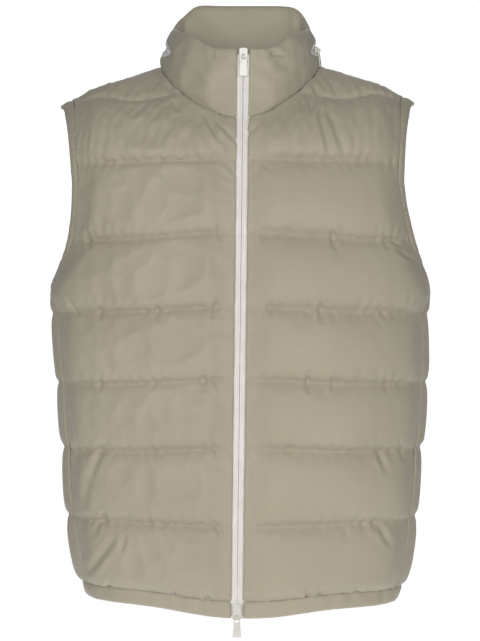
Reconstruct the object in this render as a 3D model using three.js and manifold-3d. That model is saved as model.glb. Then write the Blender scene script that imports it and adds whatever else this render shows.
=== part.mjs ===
// Quilted stand-collar vest, zipped up and filled out as if worn. Millimetres, +Z up.
// The front faces -Y and the wearer's left is +X. The origin is where the shoulders carry it.
import * as THREE from 'three';
import { mergeVertices } from 'three/addons/utils/BufferGeometryUtils.js';
import Module from 'manifold-3d';

const wasm = await Module();
wasm.setup();

// Cloth
const clothWall = 3;
const seamGap = 0.3;
const thinnestWall = 2;
const bindingWidth = 12;
const bindingThickness = 5.5;
const collarWall = 9;

// Level sections: superellipses, with their sizes at each quilting line, inside the cloth
const sectionPower = 2.4;
const lines = [
  { name: 'hem edge', zFront: -648, zSide: -636, halfWidth: 189, frontDepth: 110, backDepth: 108 },
  { name: 'hem seam', zFront: -626, zSide: -616, halfWidth: 197, frontDepth: 112, backDepth: 110 },
  { name: 'line 6', zFront: -535, zSide: -532, halfWidth: 213, frontDepth: 118, backDepth: 116 },
  { name: 'line 5', zFront: -442, zSide: -447, halfWidth: 219, frontDepth: 122, backDepth: 119 },
  { name: 'line 4', zFront: -360, zSide: -366, halfWidth: 226, frontDepth: 124, backDepth: 120 },
  { name: 'line 3', zFront: -274, zSide: -280, halfWidth: 230, frontDepth: 124, backDepth: 121 },
  { name: 'line 2', zFront: -185, zSide: -193, halfWidth: 224, frontDepth: 119, backDepth: 119 },
  { name: 'line 1', zFront: -97, zSide: -98, halfWidth: 223, frontDepth: 109, backDepth: 116 },
];
const frontDropPower = 14;
const underarm = { row: 5.35, reach: 0.3, swell: 5 };
const hemSeamRow = 1;
const chestRow = lines.length - 1;
const yokeRow = chestRow + 1;
const shoulderRow = chestRow + 2;

// Shoulders, neck and the arcs that join them to the chest line
const shoulder = { neckZ: 27, tipZ: -15, crown: 2.5, neckY: 5, tipY: 0, tipHalf: 208 };
const neck = { half: 99, front: 100, back: 70 };
const arcPower = { frontNeck: 1.5, frontTip: 1.9, backNeck: 2.6, backTip: 2 };
const yokeShare = { neck: 0.5, tip: 0.72, from: 120, to: 205 };

// How far the sides of the worn vest lean off the middle, how far its left side stands above
// its right, and how the zip runs down it
const swayReach = 200;
const sway = [
  { z: 60, shift: 0, tilt: 0 },
  { z: -25, shift: -4.5, tilt: 2.2 },
  { z: -118, shift: -3.8, tilt: 1 },
  { z: -210, shift: 0.5, tilt: 0 },
  { z: -285, shift: -1.5, tilt: 0 },
  { z: -370, shift: 1.5, tilt: 0 },
  { z: -500, shift: 1, tilt: -0.5 },
  { z: -640, shift: 0.6, tilt: -3.5 },
];
const zip = { half: 6.5, topZ: 38, topX: 3, bottomZ: -648, bottomX: -5 };

// Side seam, and the seams of the armhole bindings, as depths from the middle of the side
const seamDepth = [
  { row: 0, y: -46 },
  { row: 4.8, y: -46 },
  { row: 5.1, y: -34 },
  { row: 5.29, y: -12 },
];
const armholeRow = 5.29;
const armholeFront = [
  { row: 5.29, y: -12 },
  { row: 5.34, y: -25 },
  { row: 5.45, y: -37 },
  { row: 5.68, y: -49 },
  { row: 6, y: -60 },
  { row: 6.35, y: -66 },
  { row: 6.7, y: -67 },
  { row: 7, y: -64 },
];
const armholeBack = [
  { row: 5.29, y: -12 },
  { row: 5.34, y: 12 },
  { row: 5.45, y: 31 },
  { row: 5.68, y: 50 },
  { row: 6, y: 65 },
  { row: 6.35, y: 73 },
  { row: 6.7, y: 76 },
  { row: 7, y: 77 },
];

// Filling of each quilted channel, from the hem up
const channels = [
  { front: 3, side: 2, back: 3 },
  { front: 15, side: 10, back: 14 },
  { front: 15, side: 7, back: 14 },
  { front: 15, side: 7, back: 14 },
  { front: 15, side: 6, back: 14 },
  { front: 15, side: 8, back: 14 },
  { front: 14, side: 7, back: 13 },
  { front: 12, side: 6, back: 12 },
  { front: 6, side: 4, back: 6 },
];
const puffRound = 0.6;
const puffSag = 0.8;
const puffAtEdge = 0.3;
const puffEdgeReach = 38;
const puffSideTurn = 1.6;
const foldLimit = { share: 0.8, extra: 0.5 };
const panelGirth = 260;

// The largest folds: where each begins and ends on the panel, its depth and its half-width
const folds = [
  { face: 'front', x: -96, z: -22, toX: -84, toZ: -60, depth: 5, reach: 9 },
  { face: 'front', x: -68, z: -56, toX: -54, toZ: -102, depth: 5, reach: 9 },
  { face: 'front', x: -44, z: -40, toX: -24, toZ: -74, depth: 4, reach: 8 },
  { face: 'front', x: 94, z: -30, toX: 104, toZ: -80, depth: 6, reach: 9 },
  { face: 'front', x: 108, z: -26, toX: 126, toZ: -84, depth: 4, reach: 9 },
  { face: 'front', x: 97, z: -262, toX: 100, toZ: -292, depth: 5, reach: 10 },
  { face: 'front', x: -103, z: -262, toX: -99, toZ: -284, depth: 4, reach: 9 },
  { face: 'front', x: 82, z: -348, toX: 80, toZ: -374, depth: 5, reach: 10 },
  { face: 'front', x: -110, z: -352, toX: -112, toZ: -372, depth: 4, reach: 9 },
  { face: 'front', x: -170, z: -434, toX: -184, toZ: -476, depth: 5, reach: 9 },
  { face: 'front', x: 164, z: -446, toX: 182, toZ: -476, depth: 4, reach: 9 },
  { face: 'front', x: -184, z: -470, toX: -196, toZ: -524, depth: 5, reach: 10 },
  { face: 'front', x: -188, z: -600, toX: -158, toZ: -560, depth: 5, reach: 9 },
  { face: 'front', x: 160, z: -528, toX: 182, toZ: -562, depth: 5, reach: 9 },
  { face: 'front', x: 80, z: -622, toX: 98, toZ: -604, depth: 5, reach: 9 },
  { face: 'front', x: 110, z: -200, toX: 113, toZ: -178, depth: 4, reach: 9 },
  { face: 'back', x: -88, z: -30, toX: -104, toZ: -74, depth: 5, reach: 9 },
  { face: 'back', x: 72, z: -34, toX: 92, toZ: -86, depth: 5, reach: 9 },
  { face: 'back', x: 24, z: -182, toX: 20, toZ: -206, depth: 4, reach: 9 },
  { face: 'back', x: -120, z: -262, toX: -126, toZ: -288, depth: 5, reach: 10 },
  { face: 'back', x: 60, z: -264, toX: 56, toZ: -292, depth: 4, reach: 9 },
  { face: 'back', x: 142, z: -350, toX: 146, toZ: -374, depth: 5, reach: 9 },
  { face: 'back', x: -40, z: -352, toX: -44, toZ: -378, depth: 4, reach: 9 },
  { face: 'back', x: -150, z: -432, toX: -168, toZ: -468, depth: 5, reach: 9 },
  { face: 'back', x: 90, z: -436, toX: 96, toZ: -462, depth: 4, reach: 9 },
  { face: 'back', x: 150, z: -520, toX: 176, toZ: -556, depth: 5, reach: 9 },
  { face: 'back', x: -60, z: -520, toX: -52, toZ: -548, depth: 4, reach: 9 },
  { face: 'back', x: -110, z: -612, toX: -126, toZ: -586, depth: 5, reach: 9 },
];

// Collar: its top edge by angle from the front, and the closed zip round its back
const collarTop = { half: 88, frontY: -95, middleY: 15, backY: 80, backPower: 4.2 };
const collarHeights = [
  { degrees: 0, z: 38 },
  { degrees: 18, z: 39 },
  { degrees: 30, z: 46 },
  { degrees: 38, z: 55 },
  { degrees: 54, z: 63 },
  { degrees: 75, z: 73 },
  { degrees: 90, z: 79 },
  { degrees: 112, z: 96 },
  { degrees: 135, z: 112 },
  { degrees: 155, z: 118 },
  { degrees: 180, z: 118 },
];
const collarPuff = { front: 6, lower: 4, upper: 3, frontEnds: 55, sideBegins: 72, edgeReach: 24 };
const collarCrease = { depth: 2, reach: 0.08 };
const collarZip = { height: 0.52, begins: 66, taper: 10, half: 3, end: 0.6 };
const collarEye = { turn: 77, reach: 9, half: 10 };

// Zip tapes, sliders and pulls
const tape = { thickness: 1.6, coilHalf: 2.6, coilFlank: 0.6, coilRise: 0.8, sink: 0.6 };
const frontTrim = {
  slider: { width: 10, thickness: 3.2, corner: 2.6 },
  bridge: { inner: 1.7, outer: 3.1, half: 1.5 },
  pull: { width: 10.5, length: 23.5, thickness: 1.6, headWidth: 7.4, window: 5.2, windowHalf: 2.4 },
};
const collarTrim = {
  slider: { width: 6.5, thickness: 2.2, corner: 1.6 },
  bridge: { inner: 1.4, outer: 2.5, half: 1.1 },
  pull: { width: 6, length: 20, thickness: 1.4, headWidth: 5, window: 4.2, windowHalf: 1.7 },
};
const topSlider = { hingeZ: 28, top: 38.7, bottom: 21.2 };
const bottomSlider = { hingeZ: -645, top: -629, bottom: -648.5 };
const collarSlider = { turn: 77, above: 4.5, below: 3.5, clear: 1.4, eyeShare: 0.5 };
const pullCorners = { foot: 1.6, headFlat: 0.6, shoulder: 1.2 };
const pocket = { from: 2.05, to: 3.55, half: 1.7, tapeHalf: 4, tapeThickness: 1.1, clear: 0.95 };
const pocketTapeRows = [2, 2.4, 2.8, 3, 3.3, 3.6];

const materials = {
  shell: new THREE.MeshStandardMaterial({ color: 0xada590, roughness: 0.72, metalness: 0 }),
  binding: new THREE.MeshStandardMaterial({ color: 0xa69e88, roughness: 0.75, metalness: 0 }),
  tape: new THREE.MeshStandardMaterial({ color: 0xd3cdc6, roughness: 0.6, metalness: 0 }),
  pocketTape: new THREE.MeshStandardMaterial({ color: 0x4a463c, roughness: 0.7, metalness: 0 }),
  enamel: new THREE.MeshStandardMaterial({ color: 0xdcd6cc, roughness: 0.35, metalness: 0.2 }),
};

const side = { left: 1, right: -1 };
const quarterTurn = Math.PI / 2;
const toRadians = Math.PI / 180;

const mix = (a, b, share) => a + (b - a) * share;
const clamp = (value, low, high) => Math.min(Math.max(value, low), high);
const signedPower = (value, power) => Math.sign(value) * Math.abs(value) ** power;

function ease(share) {
  const s = clamp(share, 0, 1);
  return s * s * (3 - 2 * s);
}

// A smooth value read from a table whose rows are in order of one column
function along(table, key, column, at) {
  const rising = table[table.length - 1][key] > table[0][key];
  const rows = rising ? table : [...table].reverse();
  const place = clamp(at, rows[0][key], rows[rows.length - 1][key]);
  let i = 0;
  while (i < rows.length - 2 && place > rows[i + 1][key]) {
    i += 1;
  }
  const slope = (a, b) => (rows[b][column] - rows[a][column]) / (rows[b][key] - rows[a][key]);
  const step = rows[i + 1][key] - rows[i][key];
  const here = slope(i, i + 1);
  const before = i > 0 ? slope(i - 1, i) : here;
  const after = i < rows.length - 2 ? slope(i + 1, i + 2) : here;
  const startSlope = before * here > 0 ? (before + here) / 2 : 0;
  const endSlope = here * after > 0 ? (here + after) / 2 : 0;
  const s = (place - rows[i][key]) / step;
  return (
    (2 * s ** 3 - 3 * s ** 2 + 1) * rows[i][column] +
    (s ** 3 - 2 * s ** 2 + s) * step * startSlope +
    (3 * s ** 2 - 2 * s ** 3) * rows[i + 1][column] +
    (s ** 3 - s ** 2) * step * endSlope
  );
}

// Where a function that changes sign once between two values is nought
const halvings = 50;

function crossing(f, from, to) {
  let low = from;
  let high = to;
  const rising = f(high) > f(low);
  for (let i = 0; i < halvings; i += 1) {
    const middle = (low + high) / 2;
    if (f(middle) > 0 === rising) {
      high = middle;
    } else {
      low = middle;
    }
  }
  return (low + high) / 2;
}

// The inside surface of the body, for one half. The angle is 0 at centre front, a half turn at
// centre back. The row counts quilting lines up from the hem edge, to the shoulder seam.
function sectionAt(row) {
  const below = Math.min(Math.floor(row), lines.length - 2);
  const share = row - below;
  const value = (column) => mix(lines[below][column], lines[below + 1][column], share);
  const swell = underarm.swell * Math.exp(-(((row - underarm.row) / underarm.reach) ** 2));
  return {
    zFront: value('zFront'),
    zSide: value('zSide'),
    halfWidth: value('halfWidth') + swell,
    frontDepth: value('frontDepth'),
    backDepth: value('backDepth'),
  };
}

function arcShare(x, row) {
  const outward = ease((x - yokeShare.from) / (yokeShare.to - yokeShare.from));
  const yoke = mix(yokeShare.neck, yokeShare.tip, outward);
  if (row <= yokeRow) {
    return yoke * (row - chestRow);
  }
  return mix(yoke, 1, Math.min(row - yokeRow, 1));
}

function bodyPoint(angle, row) {
  const section = sectionAt(Math.min(row, chestRow));
  const forward = Math.cos(angle);
  const isFront = forward > 0;
  const depth = isFront ? section.frontDepth : section.backDepth;
  const x = section.halfWidth * Math.abs(Math.sin(angle)) ** (2 / sectionPower);
  const y = -depth * signedPower(forward, 2 / sectionPower);
  const drop = isFront ? forward ** frontDropPower : 0;
  const z = mix(section.zSide, section.zFront, drop);
  if (row <= chestRow) {
    return new THREE.Vector3(x, y, z);
  }
  const outward = (x - neck.half) / (shoulder.tipHalf - neck.half);
  const power = isFront
    ? mix(arcPower.frontNeck, arcPower.frontTip, ease(outward))
    : mix(arcPower.backNeck, arcPower.backTip, ease(outward));
  const turn = arcShare(x, row) * quarterTurn;
  const rise = Math.sin(turn) ** (2 / power);
  const fore = Math.max(Math.cos(turn), 0) ** (2 / power);
  const crown = shoulder.crown * Math.sin(Math.PI * clamp(outward, 0, 1));
  const ridgeZ = mix(shoulder.neckZ, shoulder.tipZ, outward) + crown;
  const ridgeY = mix(shoulder.neckY, shoulder.tipY, clamp(outward, 0, 1));
  return new THREE.Vector3(x, mix(ridgeY, y, fore), mix(z, ridgeZ, rise));
}

// Slopes are measured over these steps, and centre front and back are read this close to them
const slopeStep = { angle: 0.01, row: 0.02 };
const nearMiddle = 0.001;

function alongAngle(angle, row) {
  const low = bodyPoint(Math.max(angle - slopeStep.angle, 0), row);
  return bodyPoint(Math.min(angle + slopeStep.angle, Math.PI - nearMiddle), row).sub(low);
}

function alongRow(angle, row) {
  const low = bodyPoint(angle, Math.max(row - slopeStep.row, 0));
  return bodyPoint(angle, Math.min(row + slopeStep.row, shoulderRow)).sub(low);
}

function bodyNormal(angle, row) {
  return alongAngle(angle, row).cross(alongRow(angle, row)).normalize();
}

function insetAngle(angle, row, distance) {
  return (distance * 2 * slopeStep.angle) / alongAngle(angle, row).length();
}

function angleAtWidth(row, x) {
  const share = x / sectionAt(Math.min(row, chestRow)).halfWidth;
  return Math.asin(Math.min(share ** (sectionPower / 2), 1));
}

function angleAtDepth(row, y) {
  const section = sectionAt(Math.min(row, chestRow));
  const share = y < 0 ? -y / section.frontDepth : -y / section.backDepth;
  return Math.acos(signedPower(share, sectionPower / 2));
}

// Edges of the panels
const neckTurnLimit = quarterTurn * 0.9;
const neckTolerance = 0.01;

function insideNeck(point) {
  const reach = point.y < shoulder.neckY ? neck.front : neck.back;
  return 1 - (point.x / neck.half) ** 2 - ((point.y - shoulder.neckY) / reach) ** 2;
}

function zipX(z) {
  return mix(zip.bottomX, zip.topX, (z - zip.bottomZ) / (zip.topZ - zip.bottomZ));
}

function zipEdgeAngle(hand, row) {
  const z = bodyPoint(nearMiddle, row).z;
  return angleAtWidth(row, zip.half + hand * zipX(z));
}

function neckFrontRow(hand) {
  return crossing((row) => insideNeck(bodyPoint(zipEdgeAngle(hand, row), row)), chestRow, yokeRow);
}

function frontInnerAngle(hand, row, neckRow) {
  if (row <= neckRow) {
    return zipEdgeAngle(hand, row);
  }
  if (row >= shoulderRow) {
    return angleAtWidth(row, neck.half);
  }
  return crossing((angle) => insideNeck(bodyPoint(angle, row)), nearMiddle / 2, neckTurnLimit);
}

function frontOuterAngle(row) {
  if (row <= armholeRow) {
    return angleAtDepth(row, along(seamDepth, 'row', 'y', row));
  }
  if (row <= chestRow) {
    return angleAtDepth(row, along(armholeFront, 'row', 'y', row));
  }
  const chestX = bodyPoint(frontOuterAngle(chestRow), chestRow).x;
  return angleAtWidth(row, mix(chestX, shoulder.tipHalf, (row - chestRow) / 2));
}

function backOuterAngle(row) {
  if (row <= armholeRow) {
    return frontOuterAngle(row);
  }
  if (row <= chestRow) {
    return angleAtDepth(row, along(armholeBack, 'row', 'y', row));
  }
  const chestX = bodyPoint(backOuterAngle(chestRow), chestRow).x;
  return Math.PI - angleAtWidth(row, mix(chestX, shoulder.tipHalf, (row - chestRow) / 2));
}

function backNeckRow(angle) {
  if (bodyPoint(angle, shoulderRow).x >= neck.half - neckTolerance) {
    return shoulderRow;
  }
  return crossing((row) => insideNeck(bodyPoint(angle, row)), yokeRow, shoulderRow);
}

// How far the outer face of the cloth stands off its inside
function distanceToFold(fold, x, z) {
  const run = new THREE.Vector2(fold.toX - fold.x, fold.toZ - fold.z);
  const from = new THREE.Vector2(x - fold.x, z - fold.z);
  const share = clamp(from.dot(run) / run.lengthSq(), 0, 1);
  return from.sub(run.multiplyScalar(share)).length();
}

function foldDepth(point, hand, isFront) {
  const face = isFront ? 'front' : 'back';
  const near = folds.filter((fold) => fold.face === face);
  const depthOf = (fold) =>
    fold.depth * Math.exp(-((distanceToFold(fold, hand * point.x, point.z) / fold.reach) ** 2));
  return near.reduce((sum, fold) => sum + depthOf(fold), 0);
}

function puffAt(angle, row, edgeDistance) {
  const below = clamp(Math.floor(row), 0, channels.length - 1);
  const share = clamp(row - below, 0, 1) ** puffSag;
  const channel = channels[below];
  const forward = Math.cos(angle);
  const middle = forward > 0 ? channel.front : channel.back;
  const filling = mix(channel.side, middle, Math.min(Math.abs(forward) * puffSideTurn, 1));
  const edge = mix(puffAtEdge, 1, ease(edgeDistance / puffEdgeReach));
  return filling * edge * (4 * share * (1 - share)) ** puffRound;
}

function place(hand, point) {
  const share = Math.min(point.x / swayReach, 1);
  const shift = along(sway, 'z', 'shift', point.z) * share;
  const tilt = along(sway, 'z', 'tilt', point.z) * share * hand;
  return new THREE.Vector3(hand * point.x + shift, point.y, point.z + tilt);
}

function clothPoint(hand, angle, row, offset) {
  return place(hand, bodyPoint(angle, row).addScaledVector(bodyNormal(angle, row), offset));
}

function outerOffset(hand, angle, row, edgeDistance) {
  const point = bodyPoint(angle, row);
  const swell = puffAt(angle, row, edgeDistance);
  const deepest = swell * foldLimit.share + foldLimit.extra;
  const fold = Math.min(foldDepth(point, hand, Math.cos(angle) > 0), deepest);
  return Math.max(clothWall + swell - fold, thinnestWall);
}

const evenly = (points) => points.map((_, i) => i / (points.length - 1));

// A wall runs from station to station. A station holds its outer points and its inner points in
// the same direction, and their rows are given where these are uneven. The wall is closed by its
// rims, and by a cap at each end unless it is a ring.
function wallGeometry(stations, isRing, outerAt, innerAt) {
  const positions = [];
  const loops = stations.map(({ outer, inner }) => {
    const start = positions.length / 3;
    [...outer, ...[...inner].reverse()].forEach((point) => positions.push(point.x, point.y, point.z));
    return start;
  });
  const outerCount = stations[0].outer.length;
  const innerCount = stations[0].inner.length;
  const count = outerCount + innerCount;
  const outerRows = outerAt ?? evenly(stations[0].outer);
  const innerRowsHere = innerAt ?? evenly(stations[0].inner);
  const at = (index) => new THREE.Vector3().fromArray(positions, index * 3);
  const faces = [];
  const quad = (a, b, c, d) => {
    if (at(a).distanceToSquared(at(c)) < at(b).distanceToSquared(at(d))) {
      faces.push([a, b, c], [a, c, d]);
    } else {
      faces.push([a, b, d], [b, c, d]);
    }
  };
  const spans = isRing ? stations.length : stations.length - 1;
  for (let s = 0; s < spans; s += 1) {
    const here = loops[s];
    const next = loops[(s + 1) % stations.length];
    for (let i = 0; i < count; i += 1) {
      const j = (i + 1) % count;
      quad(here + i, here + j, next + j, next + i);
    }
  }
  const cap = (start) => {
    const triangles = [];
    let i = 0;
    let j = 0;
    while (i < outerCount - 1 || j < innerCount - 1) {
      const innerHere = start + count - 1 - j;
      const outerIsNext = outerRows[i + 1] <= innerRowsHere[j + 1];
      if (j === innerCount - 1 || (i < outerCount - 1 && outerIsNext)) {
        triangles.push([start + i, start + i + 1, innerHere]);
        i += 1;
      } else {
        triangles.push([start + i, innerHere - 1, innerHere]);
        j += 1;
      }
    }
    return triangles;
  };
  if (!isRing) {
    cap(loops[0]).forEach(([a, b, c]) => faces.push([a, c, b]));
    faces.push(...cap(loops[loops.length - 1]));
  }
  return facedOutward(positions, faces);
}

function facedOutward(positions, faces) {
  const at = (index) => new THREE.Vector3().fromArray(positions, index * 3);
  const volume = faces.reduce((sum, [a, b, c]) => sum + at(a).dot(at(b).cross(at(c))), 0);
  const indices = faces.flatMap(([a, b, c]) => (volume > 0 ? [a, b, c] : [a, c, b]));
  const geometry = new THREE.BufferGeometry();
  geometry.setAttribute('position', new THREE.Float32BufferAttribute(positions, 3));
  geometry.setIndex(indices);
  return geometry;
}

const group = new THREE.Group();

function addMesh(name, geometry, material) {
  const mesh = new THREE.Mesh(geometry, material);
  mesh.name = name;
  group.add(mesh);
  return mesh;
}

// Rows of the panels. They crowd at the quilting lines, and the edges of front and back share them.
const channelShares = [0.08, 0.27, 0.5, 0.76, 0.94];
const armholeRows = [5, 5.09, 5.2, 5.29, 5.34, 5.45, 5.68, 5.88, 5.97];
const yokeShares = [0.09, 0.3, 0.6, 0.67, 0.78, 0.93];
const shoulderShares = [0, 0.07, 0.2, 0.35, 0.55, 0.8, 1];

function panelRows(neckRow) {
  const rows = [];
  for (let row = hemSeamRow; row < chestRow; row += 1) {
    if (row === Math.floor(armholeRow)) {
      rows.push(...armholeRows);
    } else {
      rows.push(row, ...channelShares.map((share) => row + share));
    }
  }
  rows.push(chestRow, ...yokeShares.map((share) => chestRow + share));
  rows.push(...shoulderShares.map((share) => yokeRow + share));
  return neckRow ? [...rows, neckRow].sort((a, b) => a - b) : rows;
}

// The plain inside needs rows only at the quilting lines and along the armholes and the neck
const sparseAbove = 0.1;

function innerRowsOf(rows) {
  const isNearLine = (row) => row < chestRow && Math.abs(row - Math.round(row)) < sparseAbove;
  const isEdgeRow = (row) => row >= armholeRow && !isNearLine(row);
  return rows.filter((row) => Number.isInteger(row) || isEdgeRow(row));
}

function nudgedRow(row, angle) {
  const nudge = (seamGap * slopeStep.row) / alongRow(angle, row).length();
  if (row === hemSeamRow) {
    return row + nudge;
  }
  return row === shoulderRow ? row - nudge : row;
}

// The slit of the pocket opens the side seam a little
function pocketOpening(row) {
  const share = (row - pocket.from) / (pocket.to - pocket.from);
  return share > 0 && share < 1 ? pocket.half * Math.sin(Math.PI * share) ** 0.5 : 0;
}

const frontColumns = 13;

function frontAngle(hand, row, share, neckRow, opened) {
  const innerAngle = frontInnerAngle(hand, row, neckRow);
  const outerAngle = frontOuterAngle(row);
  const from = innerAngle + insetAngle(innerAngle, row, seamGap / 2);
  return mix(from, outerAngle - insetAngle(outerAngle, row, opened), share);
}

function frontPanel(hand) {
  const neckRow = neckFrontRow(hand);
  const rows = panelRows(neckRow);
  const innerRows = innerRowsOf(rows);
  const stations = [];
  for (let column = 0; column <= frontColumns; column += 1) {
    const share = column / frontColumns;
    const edgeDistance = panelGirth * Math.min(share, 1 - share);
    const pointAt = (row, isOuter) => {
      const angle = frontAngle(hand, row, share, neckRow, seamGap / 2 + pocketOpening(row));
      const offset = isOuter ? outerOffset(hand, angle, row, edgeDistance) : 0;
      return clothPoint(hand, angle, nudgedRow(row, angle), offset);
    };
    stations.push({
      outer: rows.map((row) => pointAt(row, true)),
      inner: innerRows.map((row) => pointAt(row, false)),
    });
  }
  return wallGeometry(stations, false, rows, innerRows);
}

// Columns of the back: under the neck they stand at even turns of the neck seam
const neckTurns = [0, 15, 30, 45, 60, 75, 90];
const backSideColumns = 6;

function backColumns(hand) {
  const columns = neckTurns.map((turn) => ({
    hand,
    neckAngle: Math.PI - angleAtWidth(chestRow, neck.half * Math.sin(turn * toRadians)),
    share: 0,
  }));
  const { neckAngle } = columns[columns.length - 1];
  for (let column = 1; column <= backSideColumns; column += 1) {
    columns.push({ hand, neckAngle, share: column / backSideColumns });
  }
  return columns;
}

function bothHands(listFor) {
  return [...listFor(side.right).reverse(), ...listFor(side.left).slice(1)];
}

function backAngle(column, row, opened) {
  const outerAngle = backOuterAngle(row);
  return mix(column.neckAngle, outerAngle + insetAngle(outerAngle, row, opened), column.share);
}

function backPanel() {
  const rows = panelRows();
  const innerRows = innerRowsOf(rows);
  const stations = bothHands(backColumns).map((column) => {
    const top = backNeckRow(column.neckAngle);
    const edgeDistance = (1 - column.share) * panelGirth;
    const pointAt = (row, isOuter) => {
      const angle = backAngle(column, row, seamGap / 2 + pocketOpening(row));
      const offset = isOuter ? outerOffset(column.hand, angle, row, edgeDistance) : 0;
      const nudge = nudgedRow(row, angle) - row;
      const isUnderNeck = row > yokeRow && column.share === 0;
      const fitted = isUnderNeck ? mix(yokeRow, top, row - yokeRow) : row;
      return clothPoint(column.hand, angle, fitted + nudge, offset);
    };
    return {
      outer: rows.map((row) => pointAt(row, true)),
      inner: innerRows.map((row) => pointAt(row, false)),
    };
  });
  return wallGeometry(stations, false, rows, innerRows);
}

// The hem band runs right round, from one side of the zip to the other
const hemOuterRows = [0, 0.06, 0.25, 0.5, 0.8, 1];
const hemInnerRows = [0.06, 1];
const hemEdgeOffset = 1.2;

function hemBand() {
  const half = (hand) => {
    const neckRow = neckFrontRow(hand);
    const back = backColumns(hand).map((column) => (row) => backAngle(column, row, 0));
    const front = [];
    for (let column = frontColumns - 1; column >= 0; column -= 1) {
      front.push((row) => frontAngle(hand, row, column / frontColumns, neckRow, 0));
    }
    return [...back, ...front].map((angleAt) => {
      const pointAt = (row, isOuter) => {
        const angle = angleAt(row);
        const nudge = row === hemSeamRow ? nudgedRow(row, angle) - row : 0;
        const cloth = row === 0 ? hemEdgeOffset : outerOffset(hand, angle, row, panelGirth);
        return clothPoint(hand, angle, row - nudge, isOuter ? cloth : 0);
      };
      return {
        outer: hemOuterRows.map((row) => pointAt(row, true)),
        inner: hemInnerRows.map((row) => pointAt(row, false)),
      };
    });
  };
  return wallGeometry(bothHands(half), false, hemOuterRows, hemInnerRows);
}

// Collar. Each station stands on a point of the neck seam.
function neckStations(hand) {
  const neckRow = neckFrontRow(hand);
  const frontRows = panelRows(neckRow).filter((row) => row >= neckRow);
  const front = frontRows.map((row) => {
    const angle = frontInnerAngle(hand, row, neckRow);
    const width = bodyPoint(angle, row).x;
    return { hand, angle, row, turn: Math.asin(Math.min(width / neck.half, 1)) / toRadians };
  });
  const turns = neckTurns.filter((turn) => turn < 90).reverse();
  const back = turns.map((turn) => {
    const angle = Math.PI - angleAtWidth(chestRow, neck.half * Math.sin(turn * toRadians));
    return { hand, angle, row: backNeckRow(angle), turn: 180 - turn };
  });
  const first = front[0].turn;
  front.forEach((station) => {
    station.turn = (90 * (station.turn - first)) / (90 - first);
  });
  return [...front, ...back];
}

function collarTopAt({ hand, turn }) {
  const z = along(collarHeights, 'degrees', 'z', turn);
  const across = Math.sin(turn * toRadians);
  const forward = Math.cos(turn * toRadians);
  if (forward >= 0) {
    const start = zip.half + hand * zipX(z);
    const y = collarTop.middleY + (collarTop.frontY - collarTop.middleY) * forward;
    return new THREE.Vector3(mix(start, collarTop.half, across), y, z);
  }
  const reach = collarTop.backY - collarTop.middleY;
  const y = collarTop.middleY + reach * (-forward) ** (2 / collarTop.backPower);
  return new THREE.Vector3(collarTop.half * across ** (2 / collarTop.backPower), y, z);
}

function collarBulge(turn, height) {
  const { height: zipAt } = collarZip;
  const frontEdge = mix(puffAtEdge, 1, ease(turn / collarPuff.edgeReach));
  const front = collarPuff.front * frontEdge * Math.sin(Math.PI * height) ** puffSag;
  const isLower = height < zipAt;
  const share = isLower ? height / zipAt : (height - zipAt) / (1 - zipAt);
  const tier = isLower ? collarPuff.lower : collarPuff.upper;
  const crease = collarCrease.depth * Math.exp(-(((height - zipAt) / collarCrease.reach) ** 2));
  const round = tier * Math.sin(Math.PI * clamp(share, 0, 1)) - crease;
  const { frontEnds, sideBegins } = collarPuff;
  return mix(front, round, ease((turn - frontEnds) / (sideBegins - frontEnds)));
}

function eyeHalfHeight(turn) {
  const eye = Math.exp(-(((turn - collarEye.turn) / collarEye.reach) ** 2));
  const taper = ease((turn - collarZip.begins) / collarZip.taper + collarZip.half / collarZip.taper);
  return collarZip.end + mix(collarZip.half, collarEye.half, eye) * taper;
}

const collarLowerShares = [0, 0.15, 0.45, 0.75, 1];
const collarUpperShares = [0, 0.35, 0.7, 0.93];
const collarInnerShares = [0, 0.3, 0.6, 0.95];
const collarRim = { inward: 1.4, rise: 2.2 };

function collarStations(hand) {
  const stations = neckStations(hand);
  const feet = stations.map(({ angle, row }) => clothPoint(hand, angle, row, 0));
  return stations.map((station, i) => {
    const before = feet[Math.max(i - 1, 0)];
    const after = feet[Math.min(i + 1, feet.length - 1)];
    const normal = bodyNormal(station.angle, station.row);
    normal.x *= hand;
    const inward = normal.clone().cross(after.clone().sub(before)).normalize();
    const toMiddle = new THREE.Vector3(0, shoulder.neckY, feet[i].z).sub(feet[i]);
    inward.multiplyScalar(Math.sign(inward.dot(toMiddle)) * seamGap);
    const foot = feet[i].clone().add(inward);
    const outerFoot = foot.clone().addScaledVector(normal, clothWall);
    if (i === 0) {
      foot.x = feet[i].x;
      outerFoot.x = feet[i].x;
    }
    const top = place(hand, collarTopAt(station));
    const turn = station.turn * toRadians;
    const out = new THREE.Vector3(hand * Math.sin(turn), -Math.cos(turn), 0);
    const height = top.distanceTo(outerFoot);
    const eye = eyeHalfHeight(station.turn) / height;
    return { ...station, foot, outerFoot, top, out, eye };
  });
}

function collarOuterPoint({ outerFoot, top, out, turn }, height) {
  return outerFoot.clone().lerp(top, height).addScaledVector(out, collarBulge(turn, height));
}

function collarSection(station) {
  const { foot, top, out, eye } = station;
  const low = collarZip.height - eye;
  const high = collarZip.height + eye;
  const heights = [
    ...collarLowerShares.map((share) => share * low),
    collarZip.height,
    ...collarUpperShares.map((share) => mix(high, 1, share)),
  ];
  const outer = heights.map((height) => collarOuterPoint(station, height));
  const rimEdge = top.clone().addScaledVector(out, -collarRim.inward);
  const rim = top.clone().addScaledVector(out, -collarWall / 2);
  rim.z += collarRim.rise;
  rimEdge.z += collarRim.rise / 2;
  outer.push(rimEdge, rim);
  const innerTop = top.clone().addScaledVector(out, -collarWall);
  const inner = collarInnerShares.map((share) => foot.clone().lerp(innerTop, share));
  return { outer, inner };
}

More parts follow.
